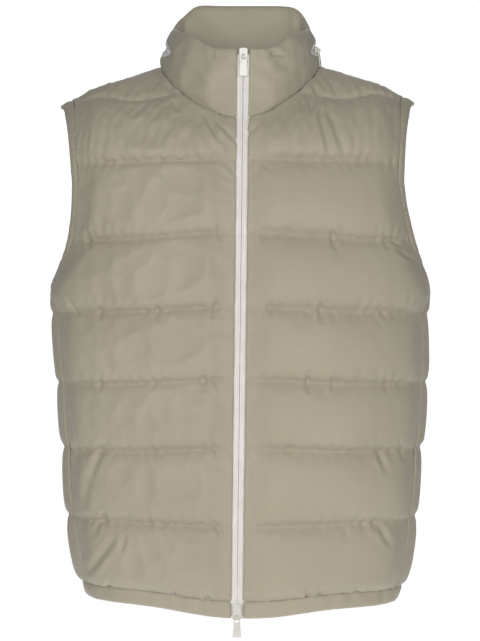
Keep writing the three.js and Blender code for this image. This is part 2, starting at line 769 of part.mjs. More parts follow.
function collar() {
  const half = (hand) => collarStations(hand).reverse().map(collarSection);
  return wallGeometry(bothHands(half), false);
}

// The closed zip round the back of the collar lies in its crease and widens to an eye at each end
const collarTapeShare = 0.94;
const collarTapeThickness = 1.2;

function collarZipTape() {
  const half = (hand) => {
    const stations = collarStations(hand).filter(({ turn }) => turn >= collarZip.begins);
    return stations.reverse().map((station) => {
      const heights = [-collarTapeShare, 0, collarTapeShare].map(
        (share) => collarZip.height + share * station.eye,
      );
      const lifted = (height, lift) =>
        collarOuterPoint(station, height).addScaledVector(station.out, lift);
      return {
        outer: heights.map((height) => lifted(height, seamGap + collarTapeThickness)),
        inner: heights.map((height) => lifted(height, seamGap)),
      };
    });
  };
  return wallGeometry(bothHands(half), false);
}

// Armhole bindings: closed strips round the two openings
function armholeSeam(hand) {
  const frontRows = panelRows().filter((row) => row >= armholeRow);
  const front = frontRows.map((row) => ({ angle: frontOuterAngle(row), row }));
  const back = frontRows.map((row) => ({ angle: backOuterAngle(row), row }));
  return [...front, ...back.reverse().slice(1, -1)].map(({ angle, row }) => ({
    point: clothPoint(hand, angle, row, 0),
    normal: bodyNormal(angle, row).multiply(new THREE.Vector3(hand, 1, 1)),
  }));
}

const bindingOuter = [
  { across: 0, lift: clothWall },
  { across: 0.18, lift: bindingThickness - 1 },
  { across: 0.6, lift: bindingThickness - 0.8 },
  { across: 0.9, lift: bindingThickness - 2.2 },
];
const bindingInner = [
  { across: 0.06, lift: 0 },
  { across: 0.5, lift: -0.8 },
  { across: 1, lift: 0.8 },
];

function armholeBinding(hand) {
  const seam = armholeSeam(hand);
  const middle = seam.reduce((sum, { point }) => sum.add(point), new THREE.Vector3());
  middle.multiplyScalar(1 / seam.length);
  const stations = seam.map(({ point, normal }, i) => {
    const before = seam[(i + seam.length - 1) % seam.length].point;
    const after = seam[(i + 1) % seam.length].point;
    const inward = normal.clone().cross(after.clone().sub(before)).normalize();
    inward.multiplyScalar(Math.sign(inward.dot(middle.clone().sub(point))));
    const at = ({ across, lift }) =>
      point
        .clone()
        .addScaledVector(inward, seamGap + across * bindingWidth)
        .addScaledVector(normal, lift);
    return { outer: bindingOuter.map(at), inner: bindingInner.map(at) };
  });
  return wallGeometry(stations, true);
}

// Centre front zip: two tapes that meet on a line, each with its raised coil
const tapeBodyRows = [0, 0.5, 1, 1.5, 2, 2.5, 3, 3.5, 4, 4.5, 5, 5.5, 6, 6.5, 7, 7.3];
const tapeCollarHeights = [0.03, 0.15, 0.35, 0.55, 0.75, 0.93];

function zipPath(hand) {
  const neckRow = neckFrontRow(hand);
  const path = [...tapeBodyRows, neckRow].map((row) => {
    const normal = bodyNormal(nearMiddle, row).setX(0).normalize();
    const point = bodyPoint(nearMiddle, row).addScaledVector(normal, clothWall);
    return { point, normal };
  });
  const edge = collarStations(hand)[0];
  tapeCollarHeights.forEach((height) => {
    const point = collarOuterPoint(edge, height);
    path.push({ point, normal: new THREE.Vector3(0, -1, 0) });
  });
  return path;
}

function zipTape(hand) {
  const width = zip.half - seamGap;
  const outerShape = [
    { across: seamGap / 2, lift: tape.coilRise - tape.sink },
    { across: tape.coilHalf, lift: tape.coilRise - tape.sink },
    { across: tape.coilHalf + tape.coilFlank, lift: -tape.sink },
    { across: width, lift: -tape.sink },
  ];
  const innerShape = [
    { across: seamGap / 2, lift: -tape.sink - tape.thickness },
    { across: width, lift: -tape.sink - tape.thickness },
  ];
  const stations = zipPath(hand).map(({ point, normal }) => {
    const at = ({ across, lift }) => {
      const placed = point.clone().addScaledVector(normal, lift);
      return placed.setX(zipX(point.z) + hand * across);
    };
    return { outer: outerShape.map(at), inner: innerShape.map(at) };
  });
  return wallGeometry(stations, false);
}

// Sliders and pulls, drawn facing -Y with the hinge of the pull at the origin
function toSolid(geometry) {
  geometry.deleteAttribute('normal');
  geometry.deleteAttribute('uv');
  const merged = mergeVertices(geometry, 1e-4);
  const mesh = new wasm.Mesh({
    numProp: 3,
    vertProperties: new Float32Array(merged.attributes.position.array),
    triVerts: new Uint32Array(merged.index.array),
  });
  return new wasm.Manifold(mesh);
}

function joined(first, second) {
  const mesh = toSolid(first).add(toSolid(second)).getMesh();
  const geometry = new THREE.BufferGeometry();
  geometry.setAttribute('position', new THREE.BufferAttribute(mesh.vertProperties, 3));
  geometry.setIndex(new THREE.BufferAttribute(mesh.triVerts, 1));
  return geometry;
}

function roundedShape(halfWidth, low, high, corner) {
  const shape = new THREE.Shape();
  shape.moveTo(-halfWidth + corner, low);
  shape.absarc(halfWidth - corner, low + corner, corner, -quarterTurn, 0);
  shape.absarc(halfWidth - corner, high - corner, corner, 0, quarterTurn);
  shape.absarc(-halfWidth + corner, high - corner, corner, quarterTurn, Math.PI);
  shape.absarc(-halfWidth + corner, low + corner, corner, Math.PI, Math.PI + quarterTurn);
  return shape;
}

// A flat piece in the X-Z plane, from one depth back to another
function slab(shape, fromY, toY) {
  const options = { depth: toY - fromY, bevelEnabled: false, curveSegments: 4 };
  return new THREE.ExtrudeGeometry(shape, options).rotateX(quarterTurn).translate(0, toY, 0);
}

// The plate of the slider, and the bridge: a half ring over the hinge, let into the plate
const bridgeRoot = 0.5;

function sliderGeometry({ slider, bridge }, above, below) {
  const plateShape = roundedShape(slider.width / 2, -below, above, slider.corner);
  const plate = slab(plateShape, bridge.inner, bridge.inner + slider.thickness);
  const root = bridge.inner + bridgeRoot;
  const ring = new THREE.Shape();
  ring.moveTo(root, bridge.outer);
  ring.absarc(0, 0, bridge.outer, quarterTurn, Math.PI + quarterTurn, false);
  ring.lineTo(root, -bridge.outer);
  ring.lineTo(root, -bridge.inner);
  ring.absarc(0, 0, bridge.inner, Math.PI + quarterTurn, quarterTurn, true);
  ring.lineTo(root, bridge.inner);
  const options = { depth: bridge.half * 2, bevelEnabled: false, curveSegments: 8 };
  const arch = new THREE.ExtrudeGeometry(ring, options).translate(0, 0, -bridge.half);
  arch.rotateX(quarterTurn).rotateZ(quarterTurn);
  return joined(plate, arch);
}

function pullGeometry({ pull }) {
  const half = pull.thickness / 2;
  const { foot, headFlat } = pullCorners;
  const corner = pull.headWidth / 2 - headFlat;
  const shape = new THREE.Shape();
  const windowZ = -half - pull.window;
  const shoulderZ = windowZ + pullCorners.shoulder;
  shape.moveTo(-pull.width / 2 + foot, -pull.length);
  shape.absarc(pull.width / 2 - foot, -pull.length + foot, foot, -quarterTurn, 0);
  shape.lineTo(pull.headWidth / 2, shoulderZ);
  shape.absarc(pull.headWidth / 2 - corner, half - corner, corner, 0, quarterTurn);
  shape.absarc(-pull.headWidth / 2 + corner, half - corner, corner, quarterTurn, Math.PI);
  shape.lineTo(-pull.headWidth / 2, shoulderZ);
  shape.absarc(-pull.width / 2 + foot, -pull.length + foot, foot, Math.PI, Math.PI + quarterTurn);
  const hole = new THREE.Path();
  hole.moveTo(-pull.windowHalf, -half);
  hole.lineTo(-pull.windowHalf, windowZ);
  hole.lineTo(pull.windowHalf, windowZ);
  hole.lineTo(pull.windowHalf, -half);
  shape.holes.push(hole);
  return slab(shape, -half, half);
}

// How far the face of the front zip reaches forward between two heights
const faceShares = [0, 0.25, 0.5, 0.75, 1];

function zipFaceY(low, high) {
  const faces = [side.right, side.left].flatMap((hand) => {
    const path = zipPath(hand).map(({ point }) => point);
    return faceShares.map((share) => along(path, 'z', 'y', mix(low, high, share)));
  });
  return Math.min(...faces) + tape.sink - tape.coilRise;
}

function addFrontSlider(name, { hingeZ, top, bottom }) {
  const { slider, bridge } = frontTrim;
  const hingeY = zipFaceY(bottom, top) - seamGap - slider.thickness - bridge.inner;
  const hinge = new THREE.Vector3(zipX(hingeZ), hingeY, hingeZ);
  const body = sliderGeometry(frontTrim, top - hingeZ, hingeZ - bottom);
  addMesh(`${name}_slider`, body, materials.enamel).position.copy(hinge);
  addMesh(`${name}_pull`, pullGeometry(frontTrim), materials.enamel).position.copy(hinge);
}

// The slider of the collar zip sits on the eye at the wearer's left, its pull lying on the collar
const underPullHeights = [0.05, 0.1, 0.15, 0.2, 0.25, 0.3, 0.35];

function addCollarSlider() {
  const { slider, bridge, pull } = collarTrim;
  const stations = collarStations(side.left);
  const gapTo = ({ turn }) => Math.abs(turn - collarSlider.turn);
  const station = stations.reduce((best, next) => (gapTo(next) < gapTo(best) ? next : best));
  const pointAt = (height) => collarOuterPoint(station, height);
  const eyeEdge = pointAt(collarZip.height - station.eye).sub(pointAt(collarZip.height));
  const lift = 2 * seamGap + collarTapeThickness + slider.thickness + bridge.inner;
  const hinge = pointAt(collarZip.height);
  const standOff = Math.max(eyeEdge.dot(station.out), 0) * collarSlider.eyeShare;
  hinge.addScaledVector(station.out, lift + standOff);
  const leans = underPullHeights.map((height) => {
    const toCloth = pointAt(height).sub(hinge);
    const clearance = pull.thickness / 2 + collarSlider.clear;
    return Math.atan2(toCloth.dot(station.out) + clearance, -toCloth.z);
  });
  const facing = Math.atan2(station.out.x, -station.out.y);
  const parts = [
    ['collar_zip_slider', sliderGeometry(collarTrim, collarSlider.above, collarSlider.below)],
    ['collar_zip_pull', pullGeometry(collarTrim)],
  ];
  parts.forEach(([name, geometry]) => {
    const mesh = addMesh(name, geometry, materials.enamel);
    mesh.position.copy(hinge);
    mesh.rotation.set(-Math.max(...leans), 0, facing, 'ZYX');
  });
}

// Pocket zips: a tape behind the slit in each side seam
function pocketZip(hand) {
  const stations = pocketTapeRows.map((row) => {
    const seam = frontOuterAngle(row);
    const half = insetAngle(seam, row, pocket.tapeHalf);
    const edges = [seam - half, seam, seam + half];
    const at = (lift) => edges.map((angle) => clothPoint(hand, angle, row, lift));
    return { outer: at(-pocket.clear), inner: at(-pocket.clear - pocket.tapeThickness) };
  });
  return wallGeometry(stations, false);
}

addMesh('front_right_panel', frontPanel(side.right), materials.shell);
addMesh('front_left_panel', frontPanel(side.left), materials.shell);
addMesh('back_panel', backPanel(), materials.shell);
addMesh('hem_band', hemBand(), materials.shell);
addMesh('collar', collar(), materials.shell);
addMesh('armhole_binding_right', armholeBinding(side.right), materials.binding);
addMesh('armhole_binding_left', armholeBinding(side.left), materials.binding);
addMesh('zip_tape_right', zipTape(side.right), materials.tape);
addMesh('zip_tape_left', zipTape(side.left), materials.tape);
addMesh('collar_zip_tape', collarZipTape(), materials.tape);
addMesh('pocket_zip_right', pocketZip(side.right), materials.pocketTape);
addMesh('pocket_zip_left', pocketZip(side.left), materials.pocketTape);
addFrontSlider('top', topSlider);
addFrontSlider('bottom', bottomSlider);
addCollarSlider();

export default group;
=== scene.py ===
import math

import bmesh
import bpy
import numpy as np
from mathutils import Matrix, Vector
from mathutils.geometry import delaunay_2d_cdt


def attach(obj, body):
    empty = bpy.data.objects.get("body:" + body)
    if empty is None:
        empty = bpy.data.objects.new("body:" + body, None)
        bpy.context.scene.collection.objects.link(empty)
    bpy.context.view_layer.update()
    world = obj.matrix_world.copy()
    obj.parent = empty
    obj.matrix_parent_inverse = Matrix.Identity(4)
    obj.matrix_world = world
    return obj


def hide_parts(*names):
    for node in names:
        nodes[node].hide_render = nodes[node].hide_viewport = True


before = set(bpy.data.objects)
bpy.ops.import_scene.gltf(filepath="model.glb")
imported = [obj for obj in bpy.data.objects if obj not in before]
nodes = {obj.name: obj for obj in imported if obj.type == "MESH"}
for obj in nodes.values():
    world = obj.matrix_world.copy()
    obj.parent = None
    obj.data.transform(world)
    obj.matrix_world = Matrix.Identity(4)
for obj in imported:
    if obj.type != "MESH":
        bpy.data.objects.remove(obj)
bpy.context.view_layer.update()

metres = 0.001  # every size below is in millimetres, as in the part


def table(columns, *rows):  # rows of values under the names of their columns
    names = columns.split()
    return [dict(zip(names, row)) for row in rows]


# The worn body that the cloth stands on: level sections at each quilting line, from the hem up
lines = table(
    "zFront zSide halfWidth frontDepth backDepth",
    (-648, -636, 189, 110, 108),
    (-626, -616, 197, 112, 110),
    (-535, -532, 213, 118, 116),
    (-442, -447, 219, 122, 119),
    (-360, -366, 226, 124, 120),
    (-274, -280, 230, 124, 121),
    (-185, -193, 224, 119, 119),
    (-97, -98, 223, 109, 116),
)
body = {
    "sectionPower": 2.4,
    "frontDropPower": 14,
    "underarmRow": 5.35,
    "underarmReach": 0.3,
    "underarmSwell": 5,
    "swayReach": 200,
}
hemRow = 1
chestRow = len(lines) - 1
yokeRow = chestRow + 1
shoulderRow = chestRow + 2
shoulder = {"neckZ": 27, "tipZ": -15, "crown": 2.5, "neckY": 5, "tipY": 0, "tipHalf": 208}
neck = {"half": 99, "front": 100, "back": 70, "edge": 0.01}
arcPower = {"frontNeck": 1.5, "frontTip": 1.9, "backNeck": 2.6, "backTip": 2}
yoke = {"neck": 0.5, "tip": 0.72, "from": 120, "to": 205}
sway = table(
    "z shift tilt",
    (60, 0, 0),
    (-25, -4.5, 2.2),
    (-118, -3.8, 1),
    (-210, 0.5, 0),
    (-285, -1.5, 0),
    (-370, 1.5, 0),
    (-500, 1, -0.5),
    (-640, 0.6, -3.5),
)
zipLine = {"half": 6.5, "topZ": 38, "topX": 3, "bottomZ": -648, "bottomX": -5}
seamDepth = table(
    "row y",
    (0, -46),
    (4.8, -46),
    (5.1, -34),
    (5.29, -12),
)
armholeRow = 5.29
armhole = table(
    "row front back",
    (5.29, -12, -12),
    (5.34, -25, 12),
    (5.45, -37, 31),
    (5.68, -49, 50),
    (6, -60, 65),
    (6.35, -66, 73),
    (6.7, -67, 76),
    (7, -64, 77),
)
halvings = 40
nearMiddle = 0.001
slopeStep = {"angle": 0.01, "row": 0.02}
noiseForm = {"waves": 7, "level": 3, "shortest": 0.8, "longest": 1.3}


def mix(a, b, share):
    return a + (b - a) * share


def ease(share):
    s = np.clip(share, 0, 1)
    return s * s * (3 - 2 * s)


def signedPower(value, power):
    return np.sign(value) * np.abs(value) ** power


def runLength(points):  # how far along a path each of its points is
    return np.concatenate([[0], np.cumsum(np.linalg.norm(np.diff(points, axis=0), axis=-1))])


def along(rows, key, column, at):  # a smooth value read from a table
    ordered = sorted(rows, key=lambda row: row[key])
    xs = np.array([row[key] for row in ordered], float)
    ys = np.array([row[column] for row in ordered], float)
    at = np.clip(at, xs[0], xs[-1])
    i = np.clip(np.searchsorted(xs, at, side="right") - 1, 0, len(xs) - 2)
    step = np.diff(xs)
    slopes = np.diff(ys) / step
    here = slopes[i]
    before = slopes[np.maximum(i - 1, 0)]
    after = slopes[np.minimum(i + 1, len(slopes) - 1)]
    start = np.where(before * here > 0, (before + here) / 2, 0)
    end = np.where(here * after > 0, (here + after) / 2, 0)
    s = (at - xs[i]) / step[i]
    return (
        (2 * s**3 - 3 * s**2 + 1) * ys[i]
        + (s**3 - 2 * s**2 + s) * step[i] * start
        + (3 * s**2 - 2 * s**3) * ys[i + 1]
        + (s**3 - s**2) * step[i] * end
    )


def crossing(f, low, high):  # where a rising or falling function is nought, for whole arrays
    low, high = np.broadcast_arrays(np.asarray(low, float), np.asarray(high, float))
    low, high = low.copy(), high.copy()
    rising = f(high) > f(low)
    for _ in range(halvings):
        middle = (low + high) / 2
        above = (f(middle) > 0) == rising
        high = np.where(above, middle, high)
        low = np.where(above, low, middle)
    return (low + high) / 2


def sectionAt(row):
    row = np.clip(row, 0, chestRow)
    numbers = np.arange(len(lines))
    section = {name: np.interp(row, numbers, [line[name] for line in lines]) for name in lines[0]}
    away = (row - body["underarmRow"]) / body["underarmReach"]
    section["halfWidth"] = section["halfWidth"] + body["underarmSwell"] * np.exp(-(away**2))
    return section


def arcShare(x, row):
    outward = ease((x - yoke["from"]) / (yoke["to"] - yoke["from"]))
    turn = mix(yoke["neck"], yoke["tip"], outward)
    above = mix(turn, 1, np.clip(row - yokeRow, 0, 1))
    return np.where(row <= yokeRow, turn * np.maximum(row - chestRow, 0), above)


def bodyPoint(angle, row):
    angle, row = np.broadcast_arrays(np.asarray(angle, float), np.asarray(row, float))
    section = sectionAt(row)
    forward = np.cos(angle)
    isFront = forward > 0
    depth = np.where(isFront, section["frontDepth"], section["backDepth"])
    x = section["halfWidth"] * np.abs(np.sin(angle)) ** (2 / body["sectionPower"])
    y = -depth * signedPower(forward, 2 / body["sectionPower"])
    drop = np.maximum(forward, 0) ** body["frontDropPower"]
    z = mix(section["zSide"], section["zFront"], drop)
    outward = (x - neck["half"]) / (shoulder["tipHalf"] - neck["half"])
    power = np.where(
        isFront,
        mix(arcPower["frontNeck"], arcPower["frontTip"], ease(outward)),
        mix(arcPower["backNeck"], arcPower["backTip"], ease(outward)),
    )
    turn = arcShare(x, row) * math.pi / 2
    rise = np.sin(turn) ** (2 / power)
    fore = np.maximum(np.cos(turn), 0) ** (2 / power)
    crown = shoulder["crown"] * np.sin(math.pi * np.clip(outward, 0, 1))
    ridgeZ = mix(shoulder["neckZ"], shoulder["tipZ"], outward) + crown
    ridgeY = mix(shoulder["neckY"], shoulder["tipY"], np.clip(outward, 0, 1))
    above = row > chestRow
    return np.stack(
        [x, np.where(above, mix(ridgeY, y, fore), y), np.where(above, mix(z, ridgeZ, rise), z)], -1
    )


def alongAngle(angle, row):
    low = bodyPoint(np.maximum(angle - slopeStep["angle"], 0), row)
    return bodyPoint(np.minimum(angle + slopeStep["angle"], math.pi - nearMiddle), row) - low


def alongRow(angle, row):
    low = bodyPoint(angle, np.maximum(row - slopeStep["row"], 0))
    return bodyPoint(angle, np.minimum(row + slopeStep["row"], shoulderRow)) - low


def unit(vectors):
    return vectors / np.maximum(np.linalg.norm(vectors, axis=-1, keepdims=True), 1e-9)


def bodyNormal(angle, row):
    return unit(np.cross(alongAngle(angle, row), alongRow(angle, row)))


def insetAngle(angle, row, distance):
    return distance * 2 * slopeStep["angle"] / np.linalg.norm(alongAngle(angle, row), axis=-1)


def angleAtWidth(row, x):
    share = np.clip(x / sectionAt(row)["halfWidth"], 0, 1)
    return np.arcsin(share ** (body["sectionPower"] / 2))


def angleAtDepth(row, y):
    section = sectionAt(row)
    share = np.where(y < 0, -y / section["frontDepth"], -y / section["backDepth"])
    return np.arccos(signedPower(share, body["sectionPower"] / 2))


def insideNeck(point):
    reach = np.where(point[..., 1] < shoulder["neckY"], neck["front"], neck["back"])
    across = (point[..., 0] / neck["half"]) ** 2
    return 1 - across - ((point[..., 1] - shoulder["neckY"]) / reach) ** 2


def zipX(z):
    share = (z - zipLine["bottomZ"]) / (zipLine["topZ"] - zipLine["bottomZ"])
    return mix(zipLine["bottomX"], zipLine["topX"], share)


def zipEdgeAngle(hand, row):
    z = bodyPoint(nearMiddle, row)[..., 2]
    return angleAtWidth(row, zipLine["half"] + hand * zipX(z))


def neckFrontRow(hand):
    f = lambda row: insideNeck(bodyPoint(zipEdgeAngle(hand, row), row))
    return float(crossing(f, chestRow, yokeRow))


def neckSeam(hand, turn):  # angle and row on the neck seam, by its turn from the zip to centre back
    corner = neckFrontRow(hand)
    cornerX = bodyPoint(zipEdgeAngle(hand, corner), corner)[..., 0]
    first = math.asin(min(cornerX / neck["half"], 1))
    front = first + np.clip(turn / 90, 0, 1) * (math.pi / 2 - first)
    isFront = turn < 90
    x = neck["half"] * np.sin(np.where(isFront, front, np.radians(turn)))
    width = angleAtWidth(chestRow, x)
    angle = np.where(isFront, width, math.pi - width)
    row = crossing(lambda row: insideNeck(bodyPoint(angle, row)), chestRow, shoulderRow)
    return angle, np.where(x > neck["half"] - neck["edge"], shoulderRow, row)


def outerAngle(isFront, row):  # the side seam, then the armhole, then up to the shoulder's tip
    column = "front" if isFront else "back"
    below = angleAtDepth(row, along(seamDepth, "row", "y", row))
    hole = angleAtDepth(row, along(armhole, "row", column, row))
    chestX = bodyPoint(angleAtDepth(chestRow, armhole[-1][column]), chestRow)[..., 0]
    share = (row - chestRow) / (shoulderRow - chestRow)
    above = angleAtWidth(row, mix(chestX, shoulder["tipHalf"], share))
    above = above if isFront else math.pi - above
    return np.where(row <= armholeRow, below, np.where(row <= chestRow, hole, above))


def place(hand, point):
    share = np.minimum(point[..., 0] / body["swayReach"], 1)
    placed = point.copy()
    placed[..., 0] = hand * point[..., 0] + along(sway, "z", "shift", point[..., 2]) * share
    placed[..., 2] += along(sway, "z", "tilt", point[..., 2]) * share * hand
    return placed


def clothPoint(hand, angle, row, offset):
    offset = np.asarray(offset, float)[..., None]
    return place(hand, bodyPoint(angle, row) + bodyNormal(angle, row) * offset)


def worldNormal(hand, angle, row):
    return bodyNormal(angle, row) * np.array([hand, 1, 1])


def smoothNoise(points, size, seed):  # soft, seeded bumps of about one size, mostly from -1 to 1
    rng = np.random.default_rng(seed)
    total = np.zeros(len(points))
    for _ in range(noiseForm["waves"]):
        direction = unit(rng.normal(size=3))
        phase = rng.uniform(0, 2 * math.pi)
        period = size * rng.uniform(noiseForm["shortest"], noiseForm["longest"])
        total += np.sin(points @ direction * 2 * math.pi / period + phase)
    return total / noiseForm["level"]


# Meshes
def addObject(name, data):
    thing = bpy.data.objects.new(name, data)
    bpy.context.scene.collection.objects.link(thing)
    return thing


def meshPiece(name, points, faces, flat=None, edges=()):
    mesh = bpy.data.meshes.new(name)
    mesh.from_pydata((np.asarray(points) * metres).tolist(), edges, faces)
    if flat is not None:
        layer = mesh.uv_layers.new(name="cut")
        corners = np.empty(len(mesh.loops), int)
        mesh.loops.foreach_get("vertex_index", corners)
        layer.data.foreach_set("uv", (np.asarray(flat)[corners] * metres).ravel())
    return addObject(name, mesh)


def faceOutward(piece):
    work = bmesh.new()
    work.from_mesh(piece.data)
    bmesh.ops.recalc_face_normals(work, faces=work.faces)
    work.to_mesh(piece.data)
    work.free()
    piece.data.shade_smooth()


def dress(piece, material, bodyName, node):
    piece.data.materials.clear()
    piece.data.materials.append(material)
    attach(piece, bodyName)
    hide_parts(node)


def finishPiece(piece, material, node):
    rounding = piece.modifiers.new("Round", "SUBSURF")
    rounding.levels = rounding.render_levels = 1
    applyModifiers(piece)
    piece.data.shade_smooth()
    dress(piece, material, "vest", node)


def applyModifiers(piece):
    view = bpy.context.evaluated_depsgraph_get()
    fresh = bpy.data.meshes.new_from_object(piece.evaluated_get(view))
    old = piece.data
    piece.modifiers.clear()
    piece.data = fresh
    fresh.name = piece.name
    bpy.data.meshes.remove(old)


def wallMesh(name, outer, inner, ring=False):
    # outer and inner are arrays of stations by points; the wall is closed at its rims and ends
    stations, outerCount = outer.shape[:2]
    innerCount = inner.shape[1]
    count = outerCount + innerCount
    loops = np.concatenate([outer, inner[:, ::-1]], axis=1)
    faces = []
    for s in range(stations if ring else stations - 1):
        here = s * count
        there = ((s + 1) % stations) * count
        for i in range(count):
            j = (i + 1) % count
            faces.append((here + i, here + j, there + j, there + i))
    for start in () if ring else (0, (stations - 1) * count):
        i = j = 0
        while i < outerCount - 1 or j < innerCount - 1:
            back = start + count - 1 - j
            outerNext = (i + 1) * (innerCount - 1) <= (j + 1) * (outerCount - 1)
            if j == innerCount - 1 or (i < outerCount - 1 and outerNext):
                faces.append((start + i, start + i + 1, back))
                i += 1
            else:
                faces.append((start + i, back - 1, back))
                j += 1
    rise = np.linalg.norm(np.diff(loops, axis=1), axis=-1).mean(0)
    rise = np.concatenate([[0], np.cumsum(rise)])
    flat = np.stack(np.meshgrid(runLength(outer[:, 0]), rise, indexing="ij"), -1).reshape(-1, 2)
    piece = meshPiece(name, loops.reshape(-1, 3), faces, flat)
    faceOutward(piece)
    return piece


# Cloth that is filled and sewn down: the shell is grown a little and blown up between its seams
def blowUp(jobs):
    scene = bpy.context.scene
    blown = []
    for job in jobs:
        piece = meshPiece(job["name"], job["points"], job["faces"])
        piece.vertex_groups.new(name="sewn").add(job["sewn"].tolist(), 1.0, "REPLACE")
        cloth = piece.modifiers.new("Filling", "CLOTH")
        for name, value in filling.items():
            setattr(cloth.settings, name, value)
        cloth.settings.effector_weights.gravity = 0
        cloth.collision_settings.use_collision = False
        cloth.point_cache.frame_start = 1
        cloth.point_cache.frame_end = fillingFrames
        blown.append(piece)
    for number in range(1, fillingFrames + 1):
        scene.frame_set(number)
    view = bpy.context.evaluated_depsgraph_get()
    results = []
    for job, piece in zip(jobs, blown):
        mesh = piece.evaluated_get(view).data
        moved = np.empty(len(mesh.vertices) * 3)
        mesh.vertices.foreach_get("co", moved)
        move = moved.reshape(-1, 3) / metres - job["points"]
        reach = np.linalg.norm(move, axis=1, keepdims=True)
        held = job["cap"] * np.tanh(reach / job["cap"]) / np.maximum(reach, leastMove)
        print(piece.name, "moved", round(float(reach.mean()), 2), round(float(reach.max()), 2))
        results.append(job["points"] + move * held)
        bpy.data.objects.remove(piece)
    scene.frame_set(1)
    return results


# Flat cut of the body: girth from centre front and rise from the hem edge, in millimetres
cutRows = np.linspace(0, shoulderRow, 181)
cutAngles = np.linspace(0, math.pi, 601)
cutForm = bodyPoint(cutAngles[None, :], cutRows[:, None])
cutGirth = np.zeros(cutForm.shape[:2])
cutGirth[:, 1:] = np.cumsum(np.linalg.norm(np.diff(cutForm, axis=1), axis=-1), axis=1)
cutWidth = 140  # the rise is measured up the cloth at this width
cutColumn = bodyPoint(angleAtWidth(cutRows, cutWidth), cutRows)
cutRise = runLength(cutColumn)


def girthAt(angle, row):
    i = np.clip(row / cutRows[1], 0, len(cutRows) - 1.001)
    j = np.clip(angle / cutAngles[1], 0, len(cutAngles) - 1.001)
    a, b = i.astype(int), j.astype(int)
    low = mix(cutGirth[a, b], cutGirth[a, b + 1], j - b)
    high = mix(cutGirth[a + 1, b], cutGirth[a + 1, b + 1], j - b)
    return mix(low, high, i - a)


def toFlat(isFront, hand, angle, row):
    girth = girthAt(angle, row)
    if not isFront:
        girth = hand * (girthAt(np.full_like(row, math.pi), row) - girth)
    return np.stack([girth, np.interp(row, cutRows, cutRise)], -1)


def fromFlat(isFront, flat):
    row = np.interp(flat[:, 1], cutRise, cutRows)
    girth = flat[:, 0]
    if not isFront:
        girth = girthAt(np.full_like(row, math.pi), row) - np.abs(girth)
    return crossing(lambda angle: girthAt(angle, row) - girth, 0, math.pi), row


seam = {"gap": 0.3, "wall": 3, "hemRow": 0.975, "topRow": 8.99}
panel = {
    "spacing": 4.4,
    "backSpacing": 5.4,
    "liningSpacing": 16,
    "onLine": 0.001,
    "scatter": 0.16,
    "clear": 0.62,
    "merge": 1e-5,
    "fill": 0.92,
    "atEdge": 0.5,
    "cap": 7,
    "uneven": 0.15,
    "bumpSize": 26,
    "fineSize": 11,
    "fineShare": 0.6,
}
cutSteps = {"edge": 40, "neck": 60, "level": 30, "lastTurn": 179.9}
filling = {
    "quality": 5,
    "mass": 0.3,
    "tension_stiffness": 15,
    "compression_stiffness": 15,
    "shear_stiffness": 5,
    "bending_stiffness": 2.5,
    "tension_damping": 5,
    "compression_damping": 5,
    "air_damping": 1,
    "vertex_group_mass": "sewn",
    "use_pressure": True,
    "uniform_pressure_force": 4,
    "shrink_min": -0.003,
}
fillingFrames = 20
leastMove = 1e-6
channels = table(
    "front side back",
    (3, 2, 3),
    (15, 10, 14),
    (15, 7, 14),
    (15, 7, 14),
    (15, 6, 14),
    (15, 8, 14),
    (14, 7, 13),
    (12, 6, 12),
    (6, 4, 6),
)
pocket = {"from": 2.05, "to": 3.55, "half": 2.5, "round": 0.5}
puff = {"round": 0.6, "sag": 0.8, "atEdge": 0.3, "edgeReach": 38, "sideTurn": 1.6}


def puffAt(angle, row, edgeDistance):
    below = np.clip(np.floor(row), 0, len(channels) - 1).astype(int)
    share = np.clip(row - below, 0, 1) ** puff["sag"]
    column = {name: np.array([channel[name] for channel in channels]) for name in channels[0]}
    forward = np.cos(angle)
    middle = np.where(forward > 0, column["front"][below], column["back"][below])
    full = mix(column["side"][below], middle, np.minimum(np.abs(forward) * puff["sideTurn"], 1))
    edge = mix(puff["atEdge"], 1, ease(edgeDistance / puff["edgeReach"]))
    return full * edge * (4 * share * (1 - share)) ** puff["round"]


def nearest(points, others, step=1500):  # distance from each point to the nearest of the others
    found = []
    for start in range(0, len(points), step):
        gap = points[start : start + step, None] - others[None]
        found.append(np.sqrt((gap**2).sum(-1).min(1)))
    return np.concatenate(found)


def inPolygon(points, corners):
    inside = np.zeros(len(points), bool)
    ahead = np.roll(corners, -1, axis=0)
    for (ax, ay), (bx, by) in zip(corners, ahead):
        spans = (ay > points[:, 1]) != (by > points[:, 1])
        if ay != by:
            reach = ax + (points[:, 1] - ay) * (bx - ax) / (by - ay)
            inside ^= spans & (points[:, 0] < reach)
    return inside


def evenly(flat, spacing):  # a path in the flat cut, with its ends kept
    run = runLength(flat)
    count = max(int(round(run[-1] / spacing)), 1)
    at = np.linspace(0, run[-1], count + 1)
    return np.stack([np.interp(at, run, flat[:, 0]), np.interp(at, run, flat[:, 1])], -1)


def splitRows(low, high):  # where an edge is crossed by quilting lines
    inner = [row for row in range(hemRow + 1, yokeRow + 1) if low < row < high]
    return [low, *inner, high]


def edgeChains(isFront, hand, angleOf, low, high):
    chains = []
    stops = splitRows(low, high)
    for start, end in zip(stops[:-1], stops[1:]):
        rows = np.linspace(start, end, cutSteps["edge"])
        chains.append(toFlat(isFront, hand, angleOf(rows), rows))
    return chains


def turned(chains):
    return [chain[::-1] for chain in reversed(chains)]


def neckChains(isFront, hand, turns):
    chains = []
    for start, end in zip(turns[:-1], turns[1:]):
        turn = np.linspace(start, end, cutSteps["neck"])
        angle, row = neckSeam(hand, np.clip(turn, 0, cutSteps["lastTurn"]))
        row = np.minimum(row, seam["topRow"])
        chains.append(toFlat(isFront, hand, angle, row))
    return chains


